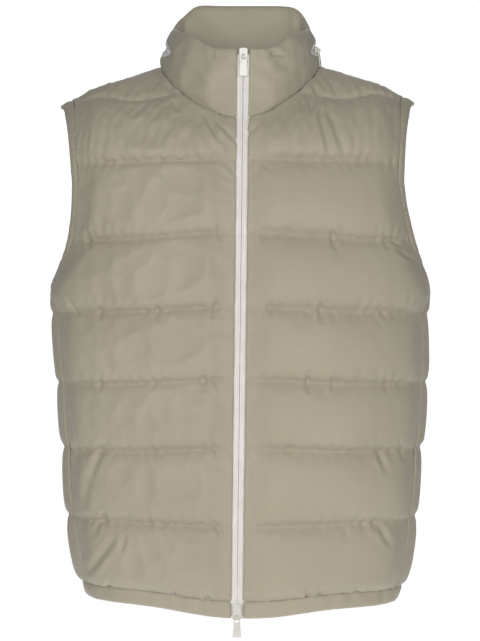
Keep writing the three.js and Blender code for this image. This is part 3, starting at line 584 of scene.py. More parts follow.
def pocketGap(row):  # half the seam's gap, wider along the pocket slit
    share = (row - pocket["from"]) / (pocket["to"] - pocket["from"])
    slit = np.sin(math.pi * np.clip(share, 0, 1)) ** pocket["round"]
    return seam["gap"] / 2 + pocket["half"] * slit


def levelChain(isFront, hand, start, end, row, steps):  # part of the hem or of a shoulder seam
    return [toFlat(isFront, hand, np.linspace(start, end, steps), np.full(steps, row))]


def zipInset(hand, row):  # the cloth's edge beside the zip
    angle = zipEdgeAngle(hand, row)
    return angle + insetAngle(angle, row, seam["gap"] / 2)


def sideAngle(isFront, row):  # the panel's edge along the side seam, the armhole and the shoulder
    angle = outerAngle(isFront, row)
    inset = insetAngle(angle, row, pocketGap(row))
    return angle - inset if isFront else angle + inset


def sideEnd(isFront, row):
    return sideAngle(isFront, np.array([row]))[0]


def sideChains(isFront, hand):  # from the hem up, with a corner at the armhole's foot
    angleOf = lambda row: sideAngle(isFront, row)
    below = edgeChains(isFront, hand, angleOf, seam["hemRow"], armholeRow)
    return below + edgeChains(isFront, hand, angleOf, armholeRow, seam["topRow"])


def frontOutline(hand):
    low, top = seam["hemRow"], seam["topRow"]
    cross = float(crossing(lambda turn: neckSeam(hand, turn)[1] - yokeRow, 1, 89))
    neckEnd = angleAtWidth(shoulderRow, neck["half"])
    hemEnd = zipInset(hand, np.array([low]))[0]
    zipAngle = lambda row: zipInset(hand, row)
    return {
        "zip": edgeChains(True, hand, zipAngle, low, neckFrontRow(hand)),
        "neck": neckChains(True, hand, [0, cross, 90]),
        "shoulder": levelChain(True, hand, neckEnd, sideEnd(True, top), top, cutSteps["level"]),
        "side": turned(sideChains(True, hand)),
        "hem": levelChain(True, hand, sideEnd(True, low), hemEnd, low, cutSteps["level"]),
    }


def backOutline():
    low, top = seam["hemRow"], seam["topRow"]
    neckEnd = math.pi - angleAtWidth(shoulderRow, neck["half"])
    hemEnd, tip = sideEnd(False, low), sideEnd(False, top)
    halves = {}
    for hand in (1, -1):
        necks = neckChains(False, hand, [90, 180])
        necks[0][-1, 0] = 0  # both halves meet on the middle line
        halves[hand] = {
            "side": sideChains(False, hand),
            "shoulder": levelChain(False, hand, tip, neckEnd, top, cutSteps["level"]),
            "neck": necks,
            "hem": levelChain(False, hand, math.pi, hemEnd, low, 2 * cutSteps["level"]),
        }
    left, right = halves[1], halves[-1]
    return {
        "hem": left["hem"],
        "side": left["side"],
        "shoulder": left["shoulder"],
        "neck": left["neck"] + turned(right["neck"]),
        "shoulderRight": turned(right["shoulder"]),
        "sideRight": turned(right["side"]),
        "hemRight": turned(right["hem"]),
    }


def cutPanel(outline, spacing, edgeNames):
    # the flat cut as triangles, with its sewn lines, its edge loop and how far it is from its edges
    corners, edgeFlags = [], []
    for name, chains in outline.items():
        for chain in chains:
            path = evenly(chain, spacing)[:-1]
            corners.append(path)
            edgeFlags += [name in edgeNames] * len(path)
    corners = np.concatenate(corners)
    points = [corners]
    edges = [(i, (i + 1) % len(corners)) for i in range(len(corners))]
    for level in np.interp(np.arange(hemRow + 1, yokeRow + 1), cutRows, cutRise):
        onLine = np.flatnonzero(np.abs(corners[:, 1] - level) < panel["onLine"])
        ends = onLine[np.argsort(corners[onLine, 0])][[0, -1]]
        between = evenly(corners[ends], spacing)[1:-1]
        first = sum(len(part) for part in points)
        chain = [ends[0], *range(first, first + len(between)), ends[1]]
        points.append(between)
        edges += [(int(a), int(b)) for a, b in zip(chain[:-1], chain[1:])]
    fixed = np.concatenate(points)
    cloth = triangles(np.concatenate([fixed, scatter(corners, fixed, spacing)]), edges)
    inner = scatter(corners, corners, panel["liningSpacing"])
    return {
        "cloth": cloth,
        "lining": triangles(np.concatenate([corners, inner]), edges[: len(corners)]),
        "loop": len(corners),
        "sewn": np.arange(len(fixed)),
        "edgeDistance": nearest(cloth[0], corners[np.array(edgeFlags)]),
    }


def scatter(corners, fixed, spacing):  # inner points in a slightly uneven triangle pattern
    rng = np.random.default_rng(len(corners))
    low, high = corners.min(0), corners.max(0)
    columns = np.arange(low[0], high[0], spacing)
    rows = np.arange(low[1], high[1], spacing * math.sqrt(0.75))
    across, up = np.meshgrid(columns, rows)
    across[1::2] += spacing / 2
    points = np.stack([across.ravel(), up.ravel()], -1)
    points += rng.uniform(-panel["scatter"], panel["scatter"], points.shape) * spacing
    points = points[inPolygon(points, corners)]
    return points[nearest(points, fixed) > spacing * panel["clear"]]


def triangles(points, edges):
    pairs = [Vector(point) for point in points.tolist()]
    placed, _, faces, _, _, _ = delaunay_2d_cdt(pairs, edges, [], 1, panel["merge"])
    return np.array([tuple(point) for point in placed]), [tuple(face) for face in faces]


def panelPoints(isFront, hand, flat, offset):  # a cut laid on the body, the back's over both hands
    angle, row = fromFlat(isFront, flat)
    hands = np.full(len(flat), hand) if isFront else np.where(flat[:, 0] < 0, -1, 1)
    points = np.empty((len(flat), 3))
    for one in (-1, 1):
        mine = hands == one
        if mine.any():
            points[mine] = clothPoint(one, angle[mine], row[mine], offset[mine])
    return points


def sewnPanel(name, isFront, hand, outline, spacing, edgeNames):
    cut = cutPanel(outline, spacing, edgeNames)
    flat, faces = cut["cloth"]
    full = puffAt(*fromFlat(isFront, flat), cut["edgeDistance"])
    full = full * np.where(cut["edgeDistance"] > panel["atEdge"], panel["fill"], 1)
    points = panelPoints(isFront, hand, flat, seam["wall"] + full)
    wobble = smoothNoise(points, panel["bumpSize"], 5)
    wobble += panel["fineShare"] * smoothNoise(points, panel["fineSize"], 6)
    wobble[cut["sewn"]] = 0
    points[:, 1] += wobble * (-1 if isFront else 1) * panel["uneven"]
    return {
        "name": name,
        "points": points,
        "faces": faces,
        "sewn": cut["sewn"],
        "cap": panel["cap"],
        "cut": cut,
        "isFront": isFront,
        "hand": hand,
    }


def closePanel(job, shellPoints):  # joins the blown shell to its plain lining round the edge
    cut = job["cut"]
    flat, faces = cut["cloth"]
    liningFlat, liningFaces = cut["lining"]
    onBody = lambda flat: panelPoints(job["isFront"], job["hand"], flat, np.zeros(len(flat)))
    count, loop = len(shellPoints), cut["loop"]
    rim = [(i, (i + 1) % loop, count + (i + 1) % loop, count + i) for i in range(loop)]
    back = [tuple(count + i for i in face) for face in liningFaces]
    points = np.concatenate([shellPoints, onBody(liningFlat)])
    allFlat = np.concatenate([flat, liningFlat])
    piece = meshPiece(job["name"], points, [*faces, *rim, *back], allFlat)
    thick = np.linalg.norm(shellPoints - onBody(flat), axis=-1)
    depth = piece.data.attributes.new("thickness", "FLOAT", "POINT")
    depth.data.foreach_set("value", np.r_[thick, np.zeros(len(liningFlat))])
    faceOutward(piece)
    return piece


# Collar: its top edge by turn from the zip, and the closed zip round its back
collarTop = {"half": 88, "frontY": -95, "middleY": 15, "backY": 80, "backPower": 4.2}
collarHeights = table(
    "degrees left right",
    (0, 38, 38),
    (18, 39, 39),
    (30, 46, 46),
    (38, 55, 55),
    (54, 63, 63),
    (75, 73, 73),
    (90, 79, 78),
    (112, 96, 91),
    (135, 112, 104),
    (155, 117, 117),
    (180, 118, 118),
)
collarForm = {
    "front": 6,
    "lower": 4,
    "upper": 3,
    "frontEnds": 55,
    "sideBegins": 72,
    "edgeReach": 24,
    "creaseDepth": 2,
    "creaseReach": 0.08,
    "wall": 9,
    "rimInward": 1.4,
    "rimRise": 2.2,
    "turnStep": 2.4,
    "lastTurn": 179.95,
    "rows": 22,
    "insideRows": 12,
    "insidePuff": 1.6,
    "insideTop": 0.96,
    "wave": 0.8,
    "waveSize": 34,
    "uneven": 0.4,
    "bumpSize": 18,
    "cap": 4,
}
collarZip = {"height": 0.52, "begins": 66, "taper": 10, "half": 3, "end": 0.6}
collarEye = {"turn": 77, "reach": 9, "half": 10}
collarTape = {"share": 0.94, "steps": 7, "gap": 0.3, "thickness": 1.2}


def collarTopAt(hand, turn):
    z = along(collarHeights, "degrees", "left" if hand > 0 else "right", turn)
    across, forward = np.sin(np.radians(turn)), np.cos(np.radians(turn))
    start = zipLine["half"] + hand * zipX(z)
    reach = collarTop["backY"] - collarTop["middleY"]
    power = 2 / collarTop["backPower"]
    front = forward >= 0
    x = np.where(front, mix(start, collarTop["half"], across), collarTop["half"] * across**power)
    frontY = mix(collarTop["middleY"], collarTop["frontY"], forward)
    y = np.where(front, frontY, collarTop["middleY"] + reach * np.maximum(-forward, 0) ** power)
    return np.stack([x, y, z], -1)


def collarBulge(turn, height):
    form = collarForm
    zipAt = collarZip["height"]
    edge = mix(puff["atEdge"], 1, ease(turn / form["edgeReach"]))
    arch = np.sin(math.pi * np.clip(height, 0, 1))
    front = form["front"] * edge * arch ** puff["sag"]
    share = np.where(height < zipAt, height / zipAt, (height - zipAt) / (1 - zipAt))
    tier = np.where(height < zipAt, form["lower"], form["upper"])
    crease = form["creaseDepth"] * np.exp(-(((height - zipAt) / form["creaseReach"]) ** 2))
    behind = tier * np.sin(math.pi * np.clip(share, 0, 1)) - crease
    blend = ease((turn - form["frontEnds"]) / (form["sideBegins"] - form["frontEnds"]))
    return mix(front, behind, blend)


def eyeHalfHeight(turn):
    eye = np.exp(-(((turn - collarEye["turn"]) / collarEye["reach"]) ** 2))
    taper = ease((turn - collarZip["begins"] + collarZip["half"]) / collarZip["taper"])
    return collarZip["end"] + mix(collarZip["half"], collarEye["half"], eye) * taper


def collarStations(hand, turns):
    angle, row = neckSeam(hand, np.minimum(turns, collarForm["lastTurn"]))
    feet = clothPoint(hand, angle, row, np.zeros(len(turns)))
    normal = worldNormal(hand, angle, row)
    inward = unit(np.cross(normal, np.gradient(feet, axis=0)))
    toMiddle = np.array([0, shoulder["neckY"], 0]) - feet * np.array([1, 1, 0])
    inward *= np.sign((inward * toMiddle).sum(-1, keepdims=True)) * seam["gap"]
    foot = feet + inward
    outerFoot = foot + normal * seam["wall"]
    foot[0, 0] = outerFoot[0, 0] = feet[0, 0]
    top = place(hand, collarTopAt(hand, turns))
    out = np.stack(
        [hand * np.sin(np.radians(turns)), -np.cos(np.radians(turns)), np.zeros(len(turns))], -1
    )
    height = np.linalg.norm(top - outerFoot, axis=-1)
    eye = eyeHalfHeight(turns) / height
    return {"turn": turns, "foot": foot, "outerFoot": outerFoot, "top": top, "out": out, "eye": eye}


def collarOuter(stations, height):  # height has a column for each point of a station
    bulge = collarBulge(stations["turn"][:, None], height)[..., None]
    base = mix(stations["outerFoot"][:, None], stations["top"][:, None], height[..., None])
    return base + stations["out"][:, None] * bulge


def bothHands(right, left):  # from the zip round the wearer's right side and back to the zip
    return np.concatenate([right, left[-2::-1]])


collarTurns = np.arange(0, 180.1, collarForm["turnStep"])
collarHands = {hand: collarStations(hand, collarTurns) for hand in (-1, 1)}


def collarRows(stations):  # even rows below and above the zip, with the zip's edges kept
    share = np.linspace(0, 1, collarForm["rows"] // 2)
    low = (collarZip["height"] - stations["eye"])[:, None] * share
    high = mix((collarZip["height"] + stations["eye"])[:, None], 1, share)
    middle = np.full((len(stations["turn"]), 1), collarZip["height"])
    return np.concatenate([low, middle, high], axis=1)


def stationsAt(hand, chosen):
    return {key: value[chosen] for key, value in collarHands[hand].items()}


def bothWalls(name, halves):  # halves has an outer and an inner grid for each hand, the right first
    outer, inner = (bothHands(right, left) for right, left in zip(*halves))
    return wallMesh(name, outer, inner)


def collarJob():
    grids = {hand: collarOuter(data, collarRows(data)) for hand, data in collarHands.items()}
    grid = bothHands(grids[-1], grids[1])
    columns, rows = grid.shape[:2]
    points = grid.reshape(-1, 3)
    index = np.arange(columns * rows).reshape(columns, rows)
    half = collarForm["rows"] // 2
    isSewn = np.zeros((columns, rows), bool)
    isSewn[:, [0, -1]] = True
    isSewn[[0, -1]] = True
    behind = bothHands(collarTurns, collarTurns) >= collarZip["begins"]
    isSewn[np.ix_(behind, [half - 1, half, half + 1])] = True
    faces = [
        index[[a, a + 1, a + 1, a], [b, b, b + 1, b + 1]].tolist()
        for a in range(columns - 1)
        for b in range(rows - 1)
    ]
    out = unit(points[:, :2] - np.array([0, shoulder["neckY"]]))
    out = np.pad(out, ((0, 0), (0, 1))) * collarForm["uneven"]
    loose = np.where(isSewn.ravel(), 0, smoothNoise(points, collarForm["bumpSize"], 8))
    return {
        "name": "collar_cloth",
        "points": points + loose[:, None] * out,
        "faces": faces,
        "sewn": np.flatnonzero(isSewn.ravel()),
        "cap": collarForm["cap"],
        "grid": grid.shape,
    }


def closeCollar(job, shellPoints):
    form = collarForm
    right, left = collarHands[-1], collarHands[1]
    foot, top, out = (bothHands(right[key], left[key]) for key in ("foot", "top", "out"))
    edge = top - out * form["rimInward"]
    rim = top - out * form["wall"] / 2
    edge[:, 2] += form["rimRise"] / 2
    rim[:, 2] += form["rimRise"]
    shell = shellPoints.reshape(job["grid"])
    outer = np.concatenate([shell, edge[:, None], rim[:, None]], axis=1)
    share = np.linspace(0, form["insideTop"], form["insideRows"])
    inner = mix(foot[:, None], (top - out * form["wall"])[:, None], share[None, :, None])
    soft = np.sin(math.pi * share)[None, :] * form["insidePuff"]
    wave = smoothNoise(inner.reshape(-1, 3), form["waveSize"], 21).reshape(inner.shape[:2])
    inner -= out[:, None] * (soft * (1 + form["wave"] * wave))[..., None]
    return wallMesh(job["name"], outer, inner)


def collarZipTape():
    steps = np.linspace(-collarTape["share"], collarTape["share"], collarTape["steps"])
    halves = []
    for hand in (-1, 1):
        part = stationsAt(hand, collarTurns >= collarZip["begins"])
        surface = collarOuter(part, collarZip["height"] + steps * part["eye"][:, None])
        lifts = (collarTape["gap"] + collarTape["thickness"], collarTape["gap"])
        halves.append([surface + part["out"][:, None] * lift for lift in lifts])
    return bothWalls("collar_zip_tape_cloth", halves)


# Hem band: a narrow turned-up strip with small gathers, from one side of the zip to the other
hem = {
    "rows": 10,
    "stations": 300,
    "topRow": 0.997,
    "fromEdges": 260,
    "edgeLift": 1.2,
    "gather": 1.1,
    "gatherSize": 17,
    "upright": 0.35,
    "atEdge": 0.35,
    "sag": 0.9,
}
hemInside = np.array([0.06, 0.5, 0.997])


def hemBand():
    share = np.linspace(0, 1, hem["stations"] // 2)[:, None]
    rows = np.linspace(0, 1, hem["rows"]) ** hem["sag"]
    rows[-1] = hem["topRow"]
    halves = []
    for hand in (-1, 1):
        spread = lambda rows: mix(zipInset(hand, rows)[None], math.pi - 2 * nearMiddle, share)
        angle = spread(rows)
        row = np.broadcast_to(rows, angle.shape)
        full = seam["wall"] + puffAt(angle, row, np.full(angle.shape, hem["fromEdges"]))
        surface = clothPoint(hand, angle, row, np.where(row == 0, hem["edgeLift"], full))
        upright = surface.reshape(-1, 3) * np.array([1, 1, hem["upright"]])
        noise = smoothNoise(upright, hem["gatherSize"], 31).reshape(angle.shape)
        noise = noise * hem["gather"] * mix(hem["atEdge"], 1, row)
        surface += worldNormal(hand, angle, row) * noise[..., None]
        inside = spread(hemInside)
        insideRow = np.broadcast_to(hemInside, inside.shape)
        halves.append((surface, clothPoint(hand, inside, insideRow, np.zeros(inside.shape))))
    return bothWalls("hem_band_cloth", halves)


# Armhole bindings: folded strips, gathered a little by the elastic inside them
binding = {
    "width": 12,
    "extraAtTop": 4,
    "topReach": 34,
    "spacing": 1.8,
    "gather": 0.6,
    "gatherSize": 5.5,
    "normalSteps": 3,
    "cornerSteps": 9,
    "turnRow": 5.5,
    "lowSteps": 60,
    "highSteps": 200,
    "end": 0.02,
    "topRow": 8.85,
}
bindingOuter = table(
    "across lift",
    (0, 3),
    (0.1, 4.1),
    (0.2, 4.7),
    (0.4, 4.9),
    (0.6, 4.7),
    (0.8, 4.1),
    (0.93, 3),
    (1.0, 1.9),
)
bindingInner = table(
    "across lift",
    (0.06, 0),
    (0.3, -0.7),
    (0.6, -0.8),
    (0.85, -0.3),
    (1, 0.6),
)


def armholePath(hand):
    low = np.linspace(armholeRow, binding["turnRow"], binding["lowSteps"])
    high = np.linspace(binding["turnRow"], shoulderRow, binding["highSteps"])
    rows = np.concatenate([low, high[1:]])
    front = np.stack([outerAngle(True, rows), rows], -1)
    back = np.stack([outerAngle(False, rows), rows], -1)[-2:0:-1]
    path = np.concatenate([front, back, front[:1]])
    points = clothPoint(hand, path[:, 0], path[:, 1], np.zeros(len(path)))
    normals = worldNormal(hand, path[:, 0], np.minimum(path[:, 1], binding["topRow"]))
    run = runLength(points)
    at = np.linspace(0, run[-1], int(run[-1] / binding["spacing"]), endpoint=False)
    sample = lambda values: np.stack([np.interp(at, run, values[:, k]) for k in range(3)], -1)
    return sample(points), unit(sample(normals))


def smoothRing(vectors, rounds):
    for _ in range(rounds):
        vectors = unit(vectors + 0.5 * (np.roll(vectors, 1, 0) + np.roll(vectors, -1, 0)))
    return vectors


def profileArrays(profile):
    return [np.array([step[name] for step in profile]) for name in ("across", "lift")]


def armholeBinding(hand, name):
    point, normal = armholePath(hand)
    normal = smoothRing(normal, binding["normalSteps"])  # evens out the corner at the shoulder
    inward = unit(np.cross(normal, np.roll(point, -1, 0) - np.roll(point, 1, 0)))
    inward *= np.sign((inward * (point.mean(0) - point)).sum(-1, keepdims=True))
    inward = smoothRing(inward, binding["cornerSteps"])
    gather = smoothNoise(point, binding["gatherSize"], 41) * binding["gather"]
    fromTop = (point[:, 2].max() - point[:, 2]) / binding["topReach"]
    width = binding["width"] + binding["extraAtTop"] * np.exp(-(fromTop**2))
    shapes = []
    for profile in (bindingOuter, bindingInner):
        across, lift = profileArrays(profile)
        laid = point[:, None] + inward[:, None] * (seam["gap"] + across * width[:, None])[..., None]
        middle = np.clip(across, binding["end"], 1 - binding["end"])
        puffed = lift + gather[:, None] * np.sin(math.pi * middle)
        shapes.append(laid + normal[:, None] * puffed[..., None])
    return wallMesh(name, *shapes, ring=True)


# Centre front zip: two tapes that meet on a line
tape = {
    "step": 0.05,
    "bareRows": 0.2,
    "bareWidth": 6.3,
    "collarFrom": 0.05,
    "collarTo": 0.93,
    "collarSteps": 14,
}
tapeOuter = table(
    "across lift",
    (0.15, -0.25),
    (0.45, 0.15),
    (1.3, 0.3),
    (2.4, 0.15),
    (2.9, -0.5),
    (3.4, -0.62),
    (6.0, -0.7),
    (6.9, -1.9),
    (9.5, -2.1),
)
tapeInner = table("across lift", (0.15, -2.7), (6.2, -2.7), (9.5, -2.7))
pocketTape = {
    "from": 2,
    "to": 3.6,
    "stations": 24,
    "across": 5,
    "half": 4,
    "outer": -1.25,
    "crown": 0.35,
    "inner": -2.05,
}


def zipPath(hand):
    rows = np.arange(0, neckFrontRow(hand), tape["step"])
    normal = unit(bodyNormal(np.full(len(rows), nearMiddle), rows) * np.array([0, 1, 1]))
    low = bodyPoint(nearMiddle, rows) + normal * seam["wall"]
    heights = np.linspace(tape["collarFrom"], tape["collarTo"], tape["collarSteps"])
    high = collarOuter(stationsAt(hand, slice(1)), heights[None])[0]
    forward = np.tile([0.0, -1.0, 0.0], (len(high), 1))
    return np.concatenate([low, high]), np.concatenate([normal, forward])


def zipTape(hand, name):
    point, normal = zipPath(hand)
    middle = zipX(point[:, 2])
    shapes = []
    atHem = np.arange(len(point)) * tape["step"] < tape["bareRows"]
    for profile in (tapeOuter, tapeInner):
        across, lift = profileArrays(profile)
        laid = point[:, None] + normal[:, None] * lift[None, :, None]
        bare = np.minimum(across, tape["bareWidth"])
        laid[..., 0] = middle[:, None] + hand * np.where(atHem[:, None], bare, across)
        shapes.append(laid)
    return wallMesh(name, *shapes)


def pocketZip(hand, name):
    rows = np.linspace(pocketTape["from"], pocketTape["to"], pocketTape["stations"])
    at = outerAngle(True, rows)
    across = np.linspace(-1, 1, pocketTape["across"])
    angle = at[:, None] + insetAngle(at, rows, pocketTape["half"])[:, None] * across
    row = np.broadcast_to(rows[:, None], angle.shape)
    lift = pocketTape["outer"] + pocketTape["crown"] * (1 - across**2)
    outer = clothPoint(hand, angle, row, np.broadcast_to(lift, angle.shape))
    inner = clothPoint(hand, angle, row, np.full(angle.shape, pocketTape["inner"]))
    return wallMesh(name, outer, inner)


# Sliders and pulls: the part's own shapes with softened edges
trimEdge = {"width": 0.28, "segments": 3, "sharp": 0.6, "flat": 0.02, "merge": 1e-6}


def softened(node, bodyName, name, material):
    mesh = nodes[node].data.copy()
    work = bmesh.new()
    work.from_mesh(mesh)
    bmesh.ops.remove_doubles(work, verts=work.verts, dist=trimEdge["merge"])
    bmesh.ops.dissolve_limit(
        work, angle_limit=trimEdge["flat"], verts=work.verts, edges=work.edges
    )
    work.to_mesh(mesh)
    work.free()
    mesh.name = name
    piece = addObject(name, mesh)
    edge = piece.modifiers.new("Edge", "BEVEL")
    edge.width = trimEdge["width"] * metres
    edge.segments = trimEdge["segments"]
    edge.limit_method = "ANGLE"
    edge.angle_limit = trimEdge["sharp"]
    applyModifiers(piece)
    dress(piece, material, bodyName, node)


# Geometry Nodes: small rounded pieces set along paths, for stitches and zip coils
def beadTree(name, material):
    tree = bpy.data.node_groups.new(name, "GeometryNodeTree")
    face = tree.interface
    face.new_socket("Path", in_out="INPUT", socket_type="NodeSocketGeometry")
    sizes = {"Pitch": 0.003, "Length": 0.0024, "Width": 0.0005, "Height": 0.0005}
    for label, value in sizes.items():
        socket = face.new_socket(label, in_out="INPUT", socket_type="NodeSocketFloat")
        socket.default_value = value
    face.new_socket("Beads", in_out="OUTPUT", socket_type="NodeSocketGeometry")
    new, link = tree.nodes.new, tree.links.new
    given, result = new("NodeGroupInput"), new("NodeGroupOutput")
    curve, steps = new("GeometryNodeMeshToCurve"), new("GeometryNodeResampleCurve")
    steps.mode = "LENGTH"
    tangent, turn = new("GeometryNodeInputTangent"), new("FunctionNodeAlignRotationToVector")
    turn.axis = "X"
    ball, size = new("GeometryNodeMeshIcoSphere"), new("ShaderNodeCombineXYZ")
    ball.inputs["Radius"].default_value = 0.5
    ball.inputs["Subdivisions"].default_value = 1
    beads, solid = new("GeometryNodeInstanceOnPoints"), new("GeometryNodeRealizeInstances")
    paint, smooth = new("GeometryNodeSetMaterial"), new("GeometryNodeSetShadeSmooth")
    paint.inputs["Material"].default_value = material
    link(given.outputs["Path"], curve.inputs["Mesh"])
    link(curve.outputs["Curve"], steps.inputs["Curve"])
    link(given.outputs["Pitch"], steps.inputs["Length"])
    link(steps.outputs["Curve"], beads.inputs["Points"])
    link(ball.outputs["Mesh"], beads.inputs["Instance"])
    link(tangent.outputs["Tangent"], turn.inputs["Vector"])
    link(turn.outputs["Rotation"], beads.inputs["Rotation"])
    for label, axis in (("Length", "X"), ("Width", "Y"), ("Height", "Z")):
        link(given.outputs[label], size.inputs[axis])
    link(size.outputs["Vector"], beads.inputs["Scale"])
    link(beads.outputs["Instances"], solid.inputs["Geometry"])
    link(solid.outputs["Geometry"], smooth.inputs["Geometry"])
    link(smooth.outputs["Geometry"], paint.inputs["Geometry"])
    link(paint.outputs["Geometry"], result.inputs["Beads"])
    return tree


def beadsAlong(name, paths, material, sizes):
    points, edges = [], []
    for path in paths:
        start = len(points)
        points += path.tolist()
        edges += [(start + i, start + i + 1) for i in range(len(path) - 1)]
    piece = meshPiece(name, points, [], edges=edges)
    beads = piece.modifiers.new("Beads", "NODES")
    beads.node_group = beadTree(name, material)
    for item in beads.node_group.interface.items_tree:
        if item.in_out == "INPUT" and item.name in sizes:
            beads[item.identifier] = sizes[item.name] * metres
    applyModifiers(piece)
    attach(piece, "vest")
    return piece


# Materials
bandPeriod = 0.314  # the wave texture's bands at scale 1


def nodeMaterial(name, roughness, sheen=0.0):
    material = bpy.data.materials.new(name)
    material.use_nodes = True
    shader = material.node_tree.nodes["Principled BSDF"]
    shader.inputs["Roughness"].default_value = roughness
    shader.inputs["Sheen Weight"].default_value = sheen
    shader.inputs["Sheen Roughness"].default_value = 0.5
    return material, material.node_tree, shader


def noiseTexture(tree, coords, **settings):
    noise = tree.nodes.new("ShaderNodeTexNoise")
    for label, value in settings.items():
        noise.inputs[label].default_value = value
    tree.links.new(coords, noise.inputs["Vector"])
    return noise.outputs["Fac"]


def toneMix(tree, coords, look):
    ramp = tree.nodes.new("ShaderNodeValToRGB")
    stops = ((0.35, look["dark"]), (0.65, look["light"]))
    for element, (position, colour) in zip(ramp.color_ramp.elements, stops):
        element.position = position
        element.color = (*colour, 1)
    blotches = noiseTexture(tree, coords, Scale=look["blotch"], Detail=4)
    tree.links.new(blotches, ramp.inputs["Fac"])
    return ramp.outputs["Color"]


def waves(tree, coords, direction, period):
    wave = tree.nodes.new("ShaderNodeTexWave")
    wave.wave_type = "BANDS"
    wave.bands_direction = direction
    wave.inputs["Scale"].default_value = bandPeriod / (period * metres)
    tree.links.new(coords, wave.inputs["Vector"])
    return wave.outputs["Fac"]


def combined(tree, kind, first, second):
    node = tree.nodes.new("ShaderNodeMath")
    node.operation = kind
    tree.links.new(first, node.inputs[0])
    tree.links.new(second, node.inputs[1])
    return node.outputs[0]


def bumped(tree, shader, height, strength, distance, below=None):
    bump = tree.nodes.new("ShaderNodeBump")
    bump.inputs["Strength"].default_value = strength
    bump.inputs["Distance"].default_value = distance * metres
    tree.links.new(height, bump.inputs["Height"])
    if below is not None:
        tree.links.new(below, bump.inputs["Normal"])
    tree.links.new(bump.outputs["Normal"], shader.inputs["Normal"])
    return bump.outputs["Normal"]


def wovenMaterial(name, look):
    material, tree, shader = nodeMaterial(name, look["roughness"], look["sheen"])
    coords = tree.nodes.new("ShaderNodeTexCoord")
    uv, solid = coords.outputs["UV"], coords.outputs["Object"]
    tree.links.new(toneMix(tree, solid, look), shader.inputs["Base Color"])
    crinkle = noiseTexture(tree, solid, Scale=look["crinkle"], Detail=5, Roughness=0.55)
    soft = bumped(tree, shader, crinkle, look["crinkleStrength"], look["crinkleDepth"])
    across = waves(tree, uv, "X", look["thread"])
    up = waves(tree, uv, "Y", look["thread"])
    weave = combined(tree, "MULTIPLY", across, up)
    bumped(tree, shader, weave, look["weaveStrength"], look["weaveDepth"], soft)
    shader.inputs["Specular IOR Level"].default_value = look["shine"]
    return material


shellLook = {
    "light": (0.432, 0.389, 0.294),
    "dark": (0.402, 0.360, 0.270),
    "blotch": 9,
    "roughness": 0.62,
    "sheen": 0.25,
    "shine": 0.35,
    "crinkle": 130,
    "crinkleStrength": 0.2,
    "crinkleDepth": 1.2,
    "thread": 0.5,
    "weaveStrength": 0.12,
    "weaveDepth": 0.08,
}
bindingLook = {**shellLook, "light": (0.40, 0.365, 0.28), "dark": (0.37, 0.335, 0.255)}
tapeLook = {
    **shellLook,
    "light": (0.86, 0.815, 0.79),
    "dark": (0.80, 0.76, 0.73),
    "blotch": 60,
    "crinkleStrength": 0.1,
    "thread": 0.9,
    "weaveStrength": 0.5,
    "weaveDepth": 0.2,
}
# Pocket zip tape: its near-black colour is painted shade for the dark inside the pocket slit
pocketShadeLook = {**tapeLook, "light": (0.07, 0.062, 0.05), "dark": (0.05, 0.045, 0.036)}
threadLook = {**shellLook, "light": (0.36, 0.325, 0.245), "dark": (0.33, 0.30, 0.225)}
enamelLook = {
    "light": (0.74, 0.71, 0.65),
    "dark": (0.66, 0.63, 0.57),
    "blotch": 160,
    "roughness": 0.34,
    "coat": 0.3,
    "grain": 900,
    "grainStrength": 0.15,
    "grainDepth": 0.05,
}


def enamelMaterial(name, look):
    material, tree, shader = nodeMaterial(name, look["roughness"])
    solid = tree.nodes.new("ShaderNodeTexCoord").outputs["Object"]
    tree.links.new(toneMix(tree, solid, look), shader.inputs["Base Color"])
    grain = noiseTexture(tree, solid, Scale=look["grain"])
    bumped(tree, shader, grain, look["grainStrength"], look["grainDepth"])
    shader.inputs["Coat Weight"].default_value = look["coat"]
    return material


shellCloth = wovenMaterial("khaki shell cloth", shellLook)
bindingCloth = wovenMaterial("khaki binding strip", bindingLook)
tapeCloth = wovenMaterial("off-white zip tape", tapeLook)
pocketShadeCloth = wovenMaterial("pocket tape in painted slit shade", pocketShadeLook)
threadCloth = wovenMaterial("khaki sewing thread", threadLook)
creamEnamel = enamelMaterial("cream enamel", enamelLook)
print("materials made")

# Creases pressed into the shells, placed one by one: where each begins and ends in front view
frontCreases = table(
    "x z toX toZ depth reach",
    (-90, -30, -80, -65, 1.6, 4),
    (-65, -65, -55, -105, 1.2, 5),
    (-45, -40, -25, -75, 2, 2.6),
    (-40, -70, -25, -100, 1.2, 4),
    (-30, -50, -5, -75, 2, 2.6),
    (-80, -25, -75, -35, 2, 2.6),
    (-20, -100, -5, -115, 1, 3),
    (20, -55, 5, -70, 1.2, 2.6),
    (75, -25, 75, -35, 2, 2.6),
    (85, -25, 85, -40, 2, 2.6),
    (95, -35, 105, -85, 2.4, 3.6),
    (105, -35, 125, -90, 2, 4),
    (25, -100, 35, -110, 1.2, 3),
    (90, 0, 95, -15, 2, 3),
    (110, 5, 115, -10, 1.8, 3),
    (-90, 0, -85, -12, 1.8, 3),
    (180, -190, 195, -200, 1.8, 2.6),
    (190, -205, 210, -215, 1.8, 2.6),
    (-210, -265, -200, -280, 1.8, 3),
    (-165, -435, -180, -475, 2, 4),
    (-180, -465, -195, -525, 1.8, 5.5),
    (165, -445, 175, -470, 2, 3.6),
    (165, -535, 180, -560, 2, 3.6),
    (-180, -550, -165, -525, 1.6, 3.6),
    (-185, -595, -155, -555, 2.6, 4),
    (-145, -570, -140, -550, 1.4, 3),
)
